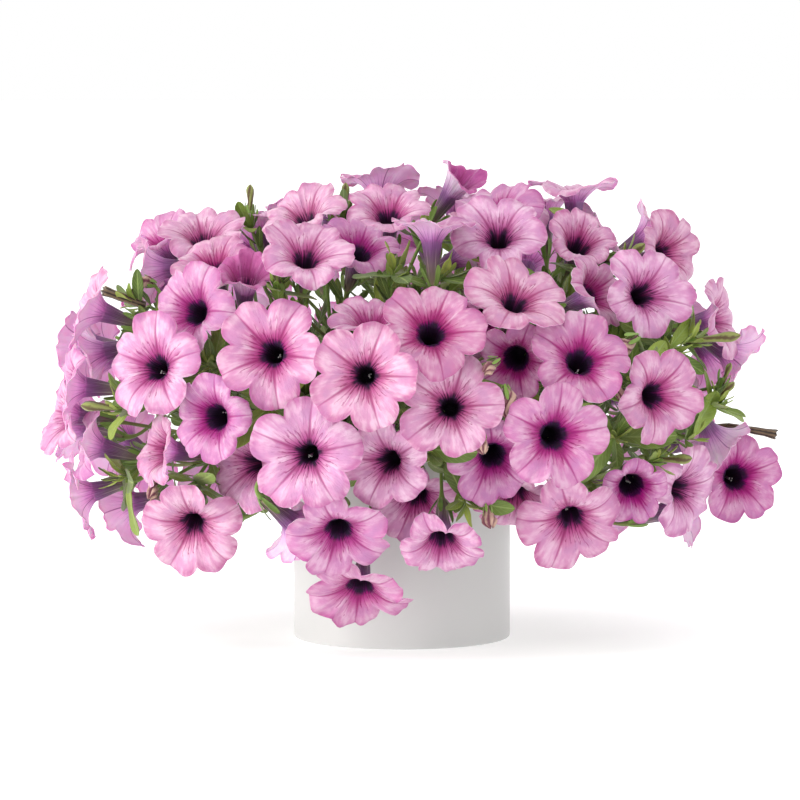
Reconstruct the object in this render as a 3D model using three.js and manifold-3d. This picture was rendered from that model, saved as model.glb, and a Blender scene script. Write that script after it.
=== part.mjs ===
// A mounded petunia in full bloom, planted in a plain white cylinder pot.
// Millimetres, +Z up, the viewer on the -Y side, and the origin at the centre of the pot's base.
//
// The blooms sit on a dome-shaped mound. Those of the front are set out one by one, as a viewer sees
// them, and those of the back by a rule. Neighbouring blooms share a stub, which makes them one bunch,
// and each bunch ends face to face with a twig of one of the leafy stems that rise from the soil.
import * as THREE from "three";
import { mergeVertices } from "three/addons/utils/BufferGeometryUtils.js";
import Module from "manifold-3d";

const wasm = await Module();
wasm.setup();

// ---------------------------------------------------------------- driving dimensions

const POT_RADIUS = 65;
const POT_HEIGHT = 112;
const POT_WALL = 3;
const POT_FLOOR = 5;
const POT_EDGE = 1.2; // bevel at the foot and at the lip
const POT_SIDES = 36;
const SOIL_LEVEL = 101;
const SOIL_CROWN = 3; // the soil stands this much higher in the middle
const GAP = 0.3; // left between pieces that touch
const CLEARANCE = 0.5; // the least left between pieces that pass each other

// The mound: the surface on which the throats of the blooms lie, round the pot's axis.
const MOUND_RADIUS = 198;
const MOUND_DEPTH_SHARE = 0.93; // the mound is a little shallower, front to back, than it is wide
const MOUND_WIDEST = 150;
const MOUND_TOP = 256;
const MOUND_HEM = 25; // the lowest bloom hangs here
const MOUND_HEM_RADIUS = 106;

// The front blooms are given as a viewer sees them from here.
const VIEW_TILT = THREE.MathUtils.degToRad(4.4);
const VIEW_DISTANCE = 2600;
const VIEW_HEIGHT = 142.3; // of the middle of the view above the pot's base
const VIEW_ASIDE = -1.2; // of the middle of the view to the right of the pot's axis

// One bloom, at full width
const BLOOM_WIDTH = 62;
const LOBES = 5;
const NOTCH = 0.2; // depth of the notch between two lobes, as a share of the radius
const THROAT_RADIUS = 7.5;
const RIM_RISE = 9; // from the throat's edge forward to the rim
const LOBE_CURL = 2.5; // the middle of each lobe bends back by this
const TUBE_LENGTH = 27; // from the throat's edge back to the calyx
const THROAT_DEPTH = 15;
const TUBE_END_RADIUS = 2.3;
const PETAL = 1.0; // thickness along the bloom's axis
const STALK_RADIUS = 1.3;
const STALK_STRAIGHT = 17; // a flower stalk leaves the calyx straight for about this long

const STUB = 8.5; // from the point where the stalks of a bunch meet to the end of their stub
const STUB_RADIUS = 2.4;
const STALK_STEP = 1.1; // along the stub, from one stalk's end to the next
const SHARPEST_TURN = -0.1; // cosine of the sharpest turn from the main stalk into the stub
const TWIG_ROOM = 15; // kept clear past the stub's end for the twig that meets it

const BUNCHES = 43;
const STEMS = 14;
const STEM_RADIUS = 2.4;
const TWIG_RADIUS = 1.8;
const SHOOT_RADIUS = 1.2;
const STEM_DEPTH = 16; // of a stem's foot in the soil
const FOOT_REACH = [14, 48]; // the nearest and furthest that a stem stands from the pot's axis
const FORK_ABOVE_RIM = 24;

const LEAF = 0.8; // thickness
const LARGE_LEAF = 31; // a leaf longer than this has a second wide section
const HUB_LENGTH = 4; // the stretch at a shoot's tip that its leaves grow out of
const BUD_RADIUS = 2.6;

// ---------------------------------------------------------------- helpers

const UP = new THREE.Vector3(0, 0, 1);
const vec = (x, y, z) => new THREE.Vector3(x, y, z);
const mix = THREE.MathUtils.lerp;
const rad = THREE.MathUtils.degToRad;

// A seeded row of draws from 0 to 1, the same on every run.
function draws(seed) {
  const modulus = 2147483647;
  let state = (seed * 7919 + 101) % modulus;
  const next = () => {
    state = (state * 16807) % modulus;
    return state / modulus;
  };
  // the first few draws of neighbouring seeds are too alike
  [1, 2, 3].forEach(next);
  return next;
}

// Triangles between two closed rings of vertex numbers, which may differ in length.
// Seen from the side on which ringA lies nearer, the band faces out when both run counter-clockwise.
function band(faces, ringA, ringB) {
  let a = 0;
  let b = 0;
  while (a < ringA.length || b < ringB.length) {
    const nextA = ringA[(a + 1) % ringA.length];
    const nextB = ringB[(b + 1) % ringB.length];
    const nowA = ringA[a % ringA.length];
    const nowB = ringB[b % ringB.length];
    if ((a + 0.5) / ringA.length < (b + 0.5) / ringB.length) {
      faces.push(nowA, nextA, nowB);
      a += 1;
    } else {
      faces.push(nowA, nextB, nowB);
      b += 1;
    }
  }
}

function geometryFrom(points, faces) {
  const geometry = new THREE.BufferGeometry().setFromPoints(points);
  geometry.setIndex(faces);
  return geometry;
}

function solidFrom(geometry) {
  const bare = geometry.index ? geometry.toNonIndexed() : geometry.clone();
  bare.deleteAttribute("normal");
  bare.deleteAttribute("uv");
  const merged = mergeVertices(bare, 1e-4);
  return new wasm.Manifold(
    new wasm.Mesh({
      numProp: 3,
      vertProperties: merged.attributes.position.array,
      triVerts: new Uint32Array(merged.index.array),
    }),
  );
}

function geometryOf(solid) {
  const mesh = solid.getMesh();
  const geometry = new THREE.BufferGeometry();
  geometry.setAttribute("position", new THREE.BufferAttribute(new Float32Array(mesh.vertProperties), 3));
  geometry.setIndex(new THREE.BufferAttribute(new Uint32Array(mesh.triVerts), 1));
  return geometry;
}

const unite = (solids) => solids.reduce((all, one) => all.add(one));

function crosses(one, other) {
  const [a, b] = [one.boundingBox(), other.boundingBox()];
  if ([0, 1, 2].some((axis) => a.min[axis] > b.max[axis] || b.min[axis] > a.max[axis])) return false;
  return one.intersect(other).volume() > 1e-6;
}

const clearOfAll = (others) => (solid) => !others.some((other) => crosses(solid, other.solid));

// A closed tube of few sides along a row of points. Its end stands square to the way it arrives.
function tubeAlong(points, radii, sides, arriving = null) {
  const vertices = [];
  const faces = [];
  let normal = null;
  let previous = null;
  points.forEach((point, i) => {
    const ahead = points[Math.min(i + 1, points.length - 1)];
    const behind = points[Math.max(i - 1, 0)];
    const along = ahead.clone().sub(behind).normalize();
    if (arriving && i === points.length - 1) along.copy(arriving);
    normal ??= Math.abs(along.z) > 0.9 ? vec(1, 0, 0) : UP.clone();
    normal = normal.clone().addScaledVector(along, -normal.dot(along)).normalize();
    const side = along.clone().cross(normal);
    const ring = [];
    for (let k = 0; k < sides; k += 1) {
      const angle = (2 * Math.PI * k) / sides;
      ring.push(vertices.length);
      vertices.push(
        point
          .clone()
          .addScaledVector(normal, radii[i] * Math.cos(angle))
          .addScaledVector(side, radii[i] * Math.sin(angle)),
      );
    }
    if (previous) band(faces, previous, ring);
    else for (let k = 1; k < sides - 1; k += 1) faces.push(ring[0], ring[k + 1], ring[k]);
    previous = ring;
  });
  for (let k = 1; k < sides - 1; k += 1) faces.push(previous[0], previous[k], previous[k + 1]);
  return geometryFrom(vertices, faces);
}

// ---------------------------------------------------------------- the mound and the view

function moundRadius(z) {
  if (z >= MOUND_TOP) return 0;
  if (z > MOUND_WIDEST) {
    const up = (z - MOUND_WIDEST) / (MOUND_TOP - MOUND_WIDEST);
    return MOUND_RADIUS * Math.sqrt(1 - up ** 2.2);
  }
  const down = (MOUND_WIDEST - z) / (MOUND_WIDEST - MOUND_HEM);
  return MOUND_RADIUS - (MOUND_RADIUS - MOUND_HEM_RADIUS) * down ** 1.7;
}

// How far a point lies outside the mound's surface; inside it is negative.
const outside = (p) => Math.hypot(p.x, p.y / MOUND_DEPTH_SHARE) - moundRadius(p.z);

const EYE = vec(
  VIEW_ASIDE,
  -VIEW_DISTANCE * Math.cos(VIEW_TILT),
  VIEW_HEIGHT + VIEW_DISTANCE * Math.sin(VIEW_TILT),
);

// The sight line through a point of the view plane, given in mm to the right of the pot's axis and
// above its base, and the place on it where it meets the mound, or passes nearest to it.
function onMound(across, above) {
  const seen = vec(across, (above - VIEW_HEIGHT) * Math.sin(VIEW_TILT), VIEW_HEIGHT);
  seen.z += (above - VIEW_HEIGHT) * Math.cos(VIEW_TILT);
  const sight = seen.clone().sub(EYE).normalize();
  let best = null;
  for (let step = -260; step <= 260; step += 1) {
    const point = seen.clone().addScaledVector(sight, step);
    const miss = outside(point);
    if (!best || miss < best.miss) best = { point, miss };
    if (miss < 0) break;
  }
  return { point: best.point, sight };
}

// ---------------------------------------------------------------- where the blooms are

// The front blooms: the throat's place in mm across and above, as seen, the way the bloom faces in
// degrees to the right and upward, its width, and how far it stands out towards the viewer.
const FRONT_BLOOMS = [
  // across, above, right, up, width, nearer
  [-77, 170, -12, 12, 64, 4],
  [17, 181, 5, 30, 62, 8],
  [-22, 157, -4, 5, 63, 6],
  [29, 138, 0, 8, 60, 2],
  [106, 164, 12, 28, 60, 6],
  [90, 121, 12, 0, 61, 8],
  [-56, 110, -8, 2, 65, 8],
  [67, 199, 22, 48, 60, 6],
  [-146, 161, -28, 15, 62, 6],
  [-125, 69, -10, -25, 62, 4],
  [54, 110, 8, -18, 56, -4],
  [-7, 106, -20, -5, 54, 0],
  [101, 73, 5, -30, 62, 4],
  [-38, 66, 0, -35, 60, 6],
  [-25, 32, -10, -50, 62, 0],
  [24, 61, 0, -45, 50, 6],
  [149, 145, 35, 0, 58, 2],
  [143, 205, 25, 15, 56, 6],
  [58, 238, 0, 38, 57, 2],
  [-58, 225, 10, 50, 56, 4],
  [-27, 228, 20, 50, 48, 0],
  [-8, 250, -5, 55, 52, 2],
  [105, 233, 18, 38, 42, 2],
  [-122, 194, -38, 18, 58, 4],
  [-110, 132, -32, 0, 54, 0],
  [-88, 104, -45, -5, 56, -2],
  [137, 92, 8, -15, 40, 6],
  [165, 89, 48, -8, 56, 2],
  [199, 96, 20, 3, 56, 0],
  [155, 230, 50, 15, 54, -20],
  [9, 86, -5, -30, 54, -8],
  [-138, 112, -65, 10, 48, -6],
  [-119, 236, -5, 60, 54, 0],
  [-181, 114, -85, 15, 54, 0],
  [-186, 87, -85, -15, 54, 20],
  [-191, 150, -80, 5, 54, 0],
  [-180, 195, -80, 20, 54, 10],
  [184, 190, 70, 12, 52, 0],
  [-51, 197, -25, 60, 44, -12],
  [-18, 183, 0, 70, 50, -20],
  [46, 192, 25, -30, 48, -30],
  [69, 168, -10, -10, 46, -24],
  [-94, 209, 5, 55, 36, -10],
  [-112, 218, -20, 52, 50, -14],
  [-84, 225, -15, 65, 50, -16],
  [18, 238, 30, 92, 50, -10],
  [34, 228, 75, 30, 50, -16],
  [110, 204, 60, 25, 48, -26],
  [68, 88, 0, -45, 52, -18],
  [-67, 70, 130, -35, 50, -14],
  [103, 262, 0, 92, 56, 0],
  [30, 267, 50, 50, 30, 0],
  [-14, 266, 0, 108, 50, -30],
  [-142, 233, -60, 55, 50, -20],
  [-142, 221, -100, -5, 44, -40],
  [194, 171, 100, -30, 50, -20],
  [182, 171, 125, -45, 46, -50],
  [-178, 171, -100, -15, 48, -40],
  [184, 124, 140, -50, 44, -40],
  [143, 238, 105, 30, 46, -60],
  [-56, 249, -10, 85, 52, -40],
  [-43, 255, -60, 95, 44, -70],
  [-84, 243, 0, 90, 46, -60],
  [32, 255, 10, 98, 48, -50],
  [86, 253, 10, 98, 48, -60],
];

// The back of the mound: blooms at least this far apart, facing out, with some scatter.
const BACK_SPACING = 50;
const BACK_TRIES = 420;
const BACK_FROM = -12; // the back begins here, as measured behind the pot's axis
const BACK_LOWEST = 58;
const BACK_WIDTHS = [52, 64];
const BACK_SCATTER = 0.7;
const OUTWARD_FROM = vec(0, 0, 95); // the back blooms face away from here
const GOLDEN_ANGLE = Math.PI * (3 - Math.sqrt(5));

// The first number of each row of seeds
const SEED = { front: 1, scatter: 1000, back: 2000, frontShoot: 5000, sizes: 6000, shoot: 7000 };

const facing = (right, up) =>
  vec(Math.sin(rad(right)) * Math.cos(rad(up)), -Math.cos(rad(right)) * Math.cos(rad(up)), Math.sin(rad(up)));

function bloomAt(throat, face, wide, slide, seed) {
  const next = draws(seed);
  const openness = wide / BLOOM_WIDTH;
  return {
    throat,
    face,
    wide,
    slide, // the way in which it may be shifted to clear its neighbours
    roll: rad(72) * next(),
    warp: mix(1.5, 4, next()),
    warpTurn: Math.PI * next(),
    rise: RIM_RISE * (1 + 1.3 * (1 - openness)),
    tube: TUBE_LENGTH * mix(0.7, 1, openness),
  };
}

function frontBlooms() {
  return FRONT_BLOOMS.map(([across, above, right, up, wide, nearer], i) => {
    const { point, sight } = onMound(across, above);
    const towardsViewer = sight.clone().negate();
    point.addScaledVector(towardsViewer, nearer);
    return bloomAt(point, facing(right, up), wide, towardsViewer, SEED.front + i);
  });
}

// The place number i of count, spread evenly over the mound, and the way out to it from the middle.
function spreadOnMound(i, count) {
  const rise = 1 - (2 * (i + 0.5)) / count;
  const turn = i * GOLDEN_ANGLE;
  const level = Math.sqrt(1 - rise * rise);
  const out = vec(level * Math.cos(turn), level * Math.sin(turn), rise);
  const at = (reach) => vec(0, 0, MOUND_WIDEST - 10).addScaledVector(out, reach);
  let reach = 40;
  while (outside(at(reach)) < 0) reach += 1;
  return { out, at, reach };
}

function backBlooms(front) {
  const found = [];
  for (let i = 0; i < BACK_TRIES; i += 1) {
    const next = draws(SEED.scatter + i);
    const { at, reach } = spreadOnMound(i, BACK_TRIES);
    const point = at(reach);
    if (point.y < BACK_FROM || point.z < BACK_LOWEST) continue;
    if ([...front, ...found].some((b) => b.throat.distanceTo(point) < BACK_SPACING)) continue;
    const face = point.clone().sub(OUTWARD_FROM).normalize();
    const scatter = vec(next() - 0.5, next() - 0.5, next() - 0.5).multiplyScalar(BACK_SCATTER);
    face.add(scatter).normalize();
    found.push(bloomAt(point, face, mix(...BACK_WIDTHS, next()), face.clone(), SEED.back + i));
  }
  return found;
}

// ---------------------------------------------------------------- the shape of one bloom

// A place in the bloom's own frame, whose +Z is the way it faces, carried to the part's frame.
function carrier(bloom, shift) {
  const right = UP.clone().cross(bloom.face);
  if (right.length() < 0.05) right.set(1, 0, 0);
  right.normalize();
  const over = bloom.face.clone().cross(right);
  const home = bloom.throat.clone().addScaledVector(bloom.slide, shift);
  return (x, y, z) =>
    home.clone().addScaledVector(right, x).addScaledVector(over, y).addScaledVector(bloom.face, z);
}

// The rim at an angle: its radius and how far it stands before the throat's edge.
function rimAt(bloom, angle, extra) {
  const lobe = (((angle - bloom.roll) / rad(72)) % 1 + 1) % 1;
  const fromMiddle = Math.abs(2 * lobe - 1);
  return {
    radius: (bloom.wide / 2) * (1 - NOTCH * fromMiddle ** 3) + extra,
    height:
      bloom.rise -
      LOBE_CURL * (1 - fromMiddle ** 2) +
      bloom.warp * Math.cos(2 * (angle - bloom.warpTurn)),
  };
}

// Where a bloom's stalk leaves the calyx, and the point towards which it first runs.
function stalkStart(bloom, shift, straight) {
  const start = carrier(bloom, shift)(0, 0, -bloom.tube);
  return { start, bend: start.clone().addScaledVector(bloom.face, -straight) };
}

// The bloom as one closed solid: the limb with its five lobes, the throat, the tube and, where one is
// given, the curved stalk that runs to the bunch's point, where one stalk of each bunch goes on as its
// stub. extra and stalk.extra fatten the bloom and its stalk, to keep others clear.
function bloomSolid(bloom, shift, stalk = null, extra = 0) {
  const place = carrier(bloom, shift);
  const points = [];
  const faces = [];
  const ringOf = (count, at) =>
    Array.from({ length: count }, (_, k) => {
      points.push(at(k));
      return points.length - 1;
    });
  const rimPoints = 3 * LOBES;
  const rim = (drop) => (k) => {
    const angle = bloom.roll + (rad(72) * k) / 3;
    const { radius, height } = rimAt(bloom, angle, extra);
    return place(radius * Math.cos(angle), radius * Math.sin(angle), height - drop);
  };
  const circle = (radius, z, turn) => (k) => {
    const angle = bloom.roll + turn + rad(72) * k;
    return place(radius * Math.cos(angle), radius * Math.sin(angle), z);
  };
  const rimTop = ringOf(rimPoints, rim(-extra));
  const rimUnder = ringOf(rimPoints, rim(PETAL + extra));
  const throatTop = ringOf(LOBES, circle(THROAT_RADIUS, 0.3, rad(36)));
  const throatUnder = ringOf(LOBES, circle(THROAT_RADIUS + 1.3 + extra, -1.6 - extra, rad(36)));
  const apex = ringOf(1, () => place(0, 0, -THROAT_DEPTH))[0];
  for (let j = 0; j < LOBES; j += 1) {
    const next = (j + 1) % LOBES;
    const [notch, left, right, nextNotch] = [3 * j, 3 * j + 1, 3 * j + 2, (3 * j + 3) % rimPoints];
    for (const [rimRing, throat, flip] of [
      [rimTop, throatTop, false],
      [rimUnder, throatUnder, true],
    ]) {
      const fan = [
        [rimRing[notch], rimRing[left], throat[j]],
        [rimRing[left], rimRing[right], throat[j]],
        [rimRing[right], rimRing[nextNotch], throat[j]],
        [rimRing[nextNotch], throat[next], throat[j]],
      ];
      fan.forEach(([a, b, c]) => faces.push(...(flip ? [a, c, b] : [a, b, c])));
    }
    faces.push(throatTop[j], throatTop[next], apex);
  }
  band(faces, rimUnder, rimTop);
  const tubeEnd = ringOf(3, (k) => {
    const angle = bloom.roll + rad(36) + rad(120) * k;
    const radius = TUBE_END_RADIUS + extra;
    return place(radius * Math.cos(angle), radius * Math.sin(angle), -bloom.tube);
  });
  band(faces, tubeEnd, throatUnder);
  let last = tubeEnd;
  if (stalk) {
    const { start, bend } = stalkStart(bloom, shift, stalk.straight);
    const curve = new THREE.QuadraticBezierCurve3(start, bend, stalk.point);
    const rings = [0.5, 1].map((share) => [curve.getPoint(share), curve.getTangent(share), STALK_RADIUS]);
    for (const reach of stalk.stub ? [1.5, STUB] : []) {
      rings.push([stalk.point.clone().addScaledVector(stalk.stub, reach), stalk.stub, STUB_RADIUS]);
    }
    let side = points[tubeEnd[0]].clone().sub(start).normalize();
    for (const [centre, along, radius] of rings) {
      const size = radius + stalk.extra;
      side = side.clone().addScaledVector(along, -side.dot(along)).normalize();
      const across = side.clone().cross(along);
      const ring = ringOf(3, (k) =>
        centre
          .clone()
          .addScaledVector(side, size * Math.cos(rad(120) * k))
          .addScaledVector(across, size * Math.sin(rad(120) * k)),
      );
      band(faces, ring, last);
      last = ring;
    }
  }
  faces.push(last[0], last[2], last[1]);
  return solidFrom(geometryFrom(points, faces));
}

// ---------------------------------------------------------------- blooms set clear of each other

const SHIFTS = [0, -4, 4, -8, 8, -12, 12, -16, 16, -20, 20, -24, 24, -28, 28, -34, -40, -46, -52, -60];

// A bloom with a straight stalk behind it, so that others leave room for the stalk too.
function withRoom(bloom, shift, extra) {
  const reach = bloom.tube + 1.4 * STALK_STRAIGHT;
  const point = bloom.throat.clone().addScaledVector(bloom.slide, shift).addScaledVector(bloom.face, -reach);
  return bloomSolid(bloom, shift, { point, straight: 0.7 * STALK_STRAIGHT, extra }, extra);
}

function placeBlooms() {
  const front = frontBlooms();
  const placed = [];
  for (const bloom of [...front, ...backBlooms(front)]) {
    const shift = SHIFTS.find((step) => {
      const fat = withRoom(bloom, step, CLEARANCE);
      return !placed.some((other) => crosses(fat, other.room));
    });
    if (shift === undefined) continue;
    const throat = bloom.throat.clone().addScaledVector(bloom.slide, shift);
    const whole = { ...bloom, throat };
    placed.push({ ...whole, solid: bloomSolid(whole, 0), room: withRoom(whole, 0, 0) });
  }
  return placed;
}

// ---------------------------------------------------------------- bunches

// Points gathered round a number of centres: the first centre is the first point, each further one is
// the point farthest from those before it, and then the centres settle in a few rounds.
function gather(points, count) {
  const centres = [points[0].clone()];
  while (centres.length < count) {
    const reach = points.map((p) => Math.min(...centres.map((c) => c.distanceTo(p))));
    centres.push(points[reach.indexOf(Math.max(...reach))].clone());
  }
  let groups = [];
  for (let round = 0; round < 12; round += 1) {
    groups = centres.map(() => []);
    points.forEach((p, i) => {
      const reach = centres.map((c) => c.distanceTo(p));
      groups[reach.indexOf(Math.min(...reach))].push(i);
    });
    groups.forEach((group, k) => {
      if (!group.length) return;
      centres[k].set(0, 0, 0);
      group.forEach((i) => centres[k].add(points[i]));
      centres[k].divideScalar(group.length);
    });
  }
  return groups.filter((group) => group.length);
}

const meanOf = (points) => points.reduce((sum, p) => sum.add(p), vec(0, 0, 0)).divideScalar(points.length);

const SIDE_STEPS = [[0, 0], [9, 0], [-9, 0], [0, 9], [0, -9], [18, 0], [-18, 0], [0, 18], [0, -18]];

// The points where the stalks of a bunch may meet, each with how far the stalks run straight, best first.
function bunchPoints(roots) {
  const mean = meanOf(roots);
  const inner = vec(0.55 * mean.x, 0.55 * mean.y, 145);
  const sideways = vec(-mean.y, mean.x, 0).normalize();
  const options = [];
  for (const straight of [STALK_STRAIGHT, 0.4 * STALK_STRAIGHT, 1.7 * STALK_STRAIGHT]) {
    for (const pull of [0.3, 0.2, 0.42, 0.1, 0.55]) {
      for (const [aside, higher] of SIDE_STEPS) {
        const point = mean.clone().lerp(inner, pull);
        point.addScaledVector(sideways, aside).addScaledVector(UP, higher);
        options.push({ point, straight });
      }
    }
  }
  return options;
}

function forkFor(point) {
  return vec(0.7 * point.x, 0.7 * point.y, Math.max(POT_HEIGHT + FORK_ABOVE_RIM, (point.z + 140) / 2));
}

// The blooms of a group joined by their stalks. The stalk that turns least goes on as the stub.
function bunchSolid(group, stalk, extra) {
  const toFork = forkFor(stalk.point).sub(stalk.point).normalize();
  const arrival = group.map((bloom) => {
    const { bend } = stalkStart(bloom, 0, stalk.straight);
    return stalk.point.clone().sub(bend).normalize().dot(toFork);
  });
  const main = arrival.indexOf(Math.max(...arrival));
  const solids = group.map((bloom, k) => {
    const end = stalk.point.clone().addScaledVector(toFork, k === main ? 0 : STALK_STEP * k + 1);
    return bloomSolid(bloom, 0, { ...stalk, point: end, stub: k === main ? toFork : null, extra });
  });
  return { solid: unite(solids), toFork, bent: arrival[main] < SHARPEST_TURN };
}

// The room that a twig needs to meet the stub.
function twigRoom(point, toFork) {
  const way = [STUB + GAP / 2, STUB + TWIG_ROOM].map((s) => point.clone().addScaledVector(toFork, s));
  return solidFrom(tubeAlong(way, [TWIG_RADIUS, TWIG_RADIUS + CLEARANCE], 6));
}

function placeBunches(blooms) {
  const roots = blooms.map((b) => b.throat.clone().addScaledVector(b.face, -b.tube - STALK_STRAIGHT));
  const bunches = [];
  for (const members of gather(roots, BUNCHES)) {
    const group = members.map((i) => blooms[i]);
    const clear = clearOfAll([...blooms.filter((bloom) => !group.includes(bloom)), ...bunches]);
    const stalk = bunchPoints(members.map((i) => roots[i])).find((option) => {
      const fat = bunchSolid(group, option, CLEARANCE);
      if (fat.bent || !clear(fat.solid)) return false;
      const room = twigRoom(option.point, fat.toFork);
      return clear(room) && !crosses(bunchSolid(group, option, 0).solid, room);
    });
    bunches.push({ ...stalk, ...bunchSolid(group, stalk, 0) });
  }
  return bunches;
}

// ---------------------------------------------------------------- leafy stems

// Sideways bends that a twig or shoot may take to pass its neighbours, as seen along it, in mm.
const BENDS = [
  [0, 0],
  ...[8, 16, 26].flatMap((b) => [[b, 0], [-b, 0], [0, b], [0, -b], [b, b], [-b, b], [b, -b], [-b, -b]]),
];

// A bent path from start to end that arrives along the way given.
function bentPath(start, end, arriving, bend, steps) {
  const reach = start.distanceTo(end);
  const along = end.clone().sub(start).normalize();
  const side = along.clone().cross(UP).normalize();
  const over = side.clone().cross(along);
  const early = start.clone().lerp(end, 0.35).addScaledVector(side, bend[0]).addScaledVector(over, bend[1]);
  const late = end.clone().addScaledVector(arriving, -0.25 * reach);
  return new THREE.CubicBezierCurve3(start, early, late, end).getPoints(steps);
}

// Places along a path at which shoots may start: six to each stretch, short of the path's end.
const START_SHARES = [0, 0.17, 0.33, 0.5, 0.67, 0.83];
const between = (path) =>
  path.slice(1).flatMap((end, i) => START_SHARES.map((share) => path[i].clone().lerp(end, share)));

const taper = (points, from, to) => points.map((p, i) => mix(from, to, i / (points.length - 1)));

// Where a stem stands in the soil: those to the lowest bunches stand furthest out.
function stemFoot(fork, lowest, turn) {
  const reach = THREE.MathUtils.mapLinear(lowest, 230, 80, ...FOOT_REACH);
  const foot = vec(fork.x, fork.y, 0).setLength(THREE.MathUtils.clamp(reach, ...FOOT_REACH));
  return foot.applyAxisAngle(UP, rad(turn)).setZ(SOIL_LEVEL - STEM_DEPTH + GAP);
}

// The line of a stem, from its foot in the soil to its fork.
function stemAxis(foot, fork) {
  const top = foot.clone().setZ(SOIL_LEVEL + 6);
  const rise = top.clone().addScaledVector(UP, 0.45 * Math.max(40, fork.z - top.z));
  const back = fork.clone().lerp(top, 0.3).addScaledVector(UP, 8);
  return [foot, ...new THREE.CubicBezierCurve3(top, rise, back, fork).getPoints(3)];
}

function stemSolid(axis, extra = 0) {
  return solidFrom(tubeAlong(axis, taper(axis, STEM_RADIUS + extra, TWIG_RADIUS + 0.3 + extra), 5));
}

const FORK_LIFTS = [0, 8, -8, 16];
const FOOT_TURNS = [0, 14, -14, 28, -28, 42, -42];

// The stems without their twigs, each clear of the bunches and of the stems before it.
function plantStems(bunches) {
  const stems = [];
  for (const group of gather(bunches.map((b) => b.point), STEMS)) {
    const members = group.map((i) => bunches[i]);
    const home = meanOf(members.map((b) => forkFor(b.point)));
    const lowest = Math.min(...members.map((b) => b.point.z));
    const clear = clearOfAll([...bunches, ...stems]);
    const options = FORK_LIFTS.flatMap((lift) => FOOT_TURNS.map((turn) => ({ lift, turn })));
    const axisOf = ({ lift, turn }) =>
      stemAxis(stemFoot(home, lowest, turn), home.clone().addScaledVector(UP, lift));
    const axis = axisOf(options.find((option) => clear(stemSolid(axisOf(option), CLEARANCE))));
    stems.push({ members, axis, foot: axis[0], fork: axis.at(-1), solid: stemSolid(axis) });
  }
  return stems;
}

// One twig from the fork, or from another twig, to each bunch of the stem.
function growTwigs(stem, stems, bunches) {
  const clear = clearOfAll([...bunches, ...stems.filter((one) => one !== stem)]);
  stem.starts = between(stem.axis.slice(2));
  for (const bunch of stem.members) {
    const end = bunch.point.clone().addScaledVector(bunch.toFork, STUB + GAP);
    const arriving = bunch.toFork.clone().negate();
    const pathOf = ({ start, bend }) => bentPath(start, end, arriving, bend, 2);
    const fits = (option) => {
      // the fattened twig stops short of the stub that it meets
      const short = [...pathOf(option).slice(0, -1), end.clone().addScaledVector(bunch.toFork, 1)];
      return clear(solidFrom(tubeAlong(short, short.map(() => TWIG_RADIUS + CLEARANCE), 3, arriving)));
    };
    const starts = [stem.fork, ...stem.starts.filter((_, i) => i % 3 === 0)];
    const options = starts.flatMap((start) => BENDS.map((bend) => ({ start, bend })));
    const path = pathOf(options.find(fits));
    stem.starts.push(...between(path));
    const twig = tubeAlong(path, taper(path, TWIG_RADIUS, TWIG_RADIUS - 0.2), 3, arriving);
    stem.solid = stem.solid.add(solidFrom(twig));
  }
}

// ---------------------------------------------------------------- shoots, leaves and buds

// The shoots of the front that show between the blooms: place and way as for the blooms, the number of
// leaves, their length, and the length of a bud at the tip (0 for none).
const FRONT_SHOOTS = [
  // across, above, right, up, nearer, leaves, leaf length, bud length
  [-5, 219, 0, 70, -24, 5, 30, 0],
  [23, 217, 20, 55, -30, 4, 30, 0],
  [51, 223, -30, 50, -28, 3, 28, 0],
  [-75, 209, 30, 60, -16, 4, 22, 0],
  [-108, 200, -70, 10, -22, 0, 24, 34],
  [-115, 163, -30, 10, -22, 5, 30, 0],
  [-79, 139, -10, -5, -22, 4, 32, 0],
  [-166, 96, -75, -5, -14, 5, 34, 0],
  [-125, 92, -20, -40, -18, 4, 30, 0],
  [74, 153, 10, 20, -16, 5, 26, 0],
  [128, 120, 20, 0, -18, 5, 38, 0],
  [113, 94, 5, -40, -14, 3, 34, 0],
  [187, 140, 60, 45, -14, 6, 24, 20],
  [160, 172, 45, 10, -18, 4, 28, 0],
  [111, 218, 10, 60, -22, 4, 26, 0],
  [122, 203, 40, 10, -20, 4, 24, 0],
  [172, 119, 60, 10, -14, 4, 30, 0],
  [13, 113, 0, -10, -18, 3, 28, 0],
  [38, 82, 10, -40, -14, 3, 26, 0],
  [-44, 82, -10, -30, -14, 3, 26, 0],
  [140, 154, 20, 10, -18, 4, 28, 0],
  [-165, 137, -80, 5, -14, 3, 24, 28],
  [-160, 201, -70, 20, -6, 0, 24, 34],
  [-91, 247, -10, 80, -14, 2, 20, 14],
  [-34, 248, 0, 80, -14, 2, 20, 14],
  [170, 177, 75, 8, -14, 3, 24, 34],
  [128, 222, 55, 35, -20, 3, 24, 26],
  [150, 106, 65, 5, -14, 3, 26, 26],
  [106, 250, -10, 80, -24, 2, 20, 16],
];

// All round the mound: shoots where the blooms leave room.
const SHOOT_STARTS = 12; // the nearest places on the twigs that are tried for a shoot's start
const SHOOT_TRIES = 260;
const SHOOT_ROOM = 27; // from the nearest throat
const SHOOT_SPACING = 62;
const SHOOT_SINK = 18; // below the mound's surface
const SHOOT_LOWEST = 82;
const SINKS = [0, 8, -6, 16]; // further in or out, where a shoot finds no way

function frontShoots() {
  return FRONT_SHOOTS.map(([across, above, right, up, nearer, leaves, leafLength, bud], i) => {
    const { point, sight } = onMound(across, above);
    point.addScaledVector(sight, -nearer);
    const seed = SEED.frontShoot + i;
    return { point, slide: sight, out: facing(right, up), leaves, leafLength, bud, seed };
  });
}

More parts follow.
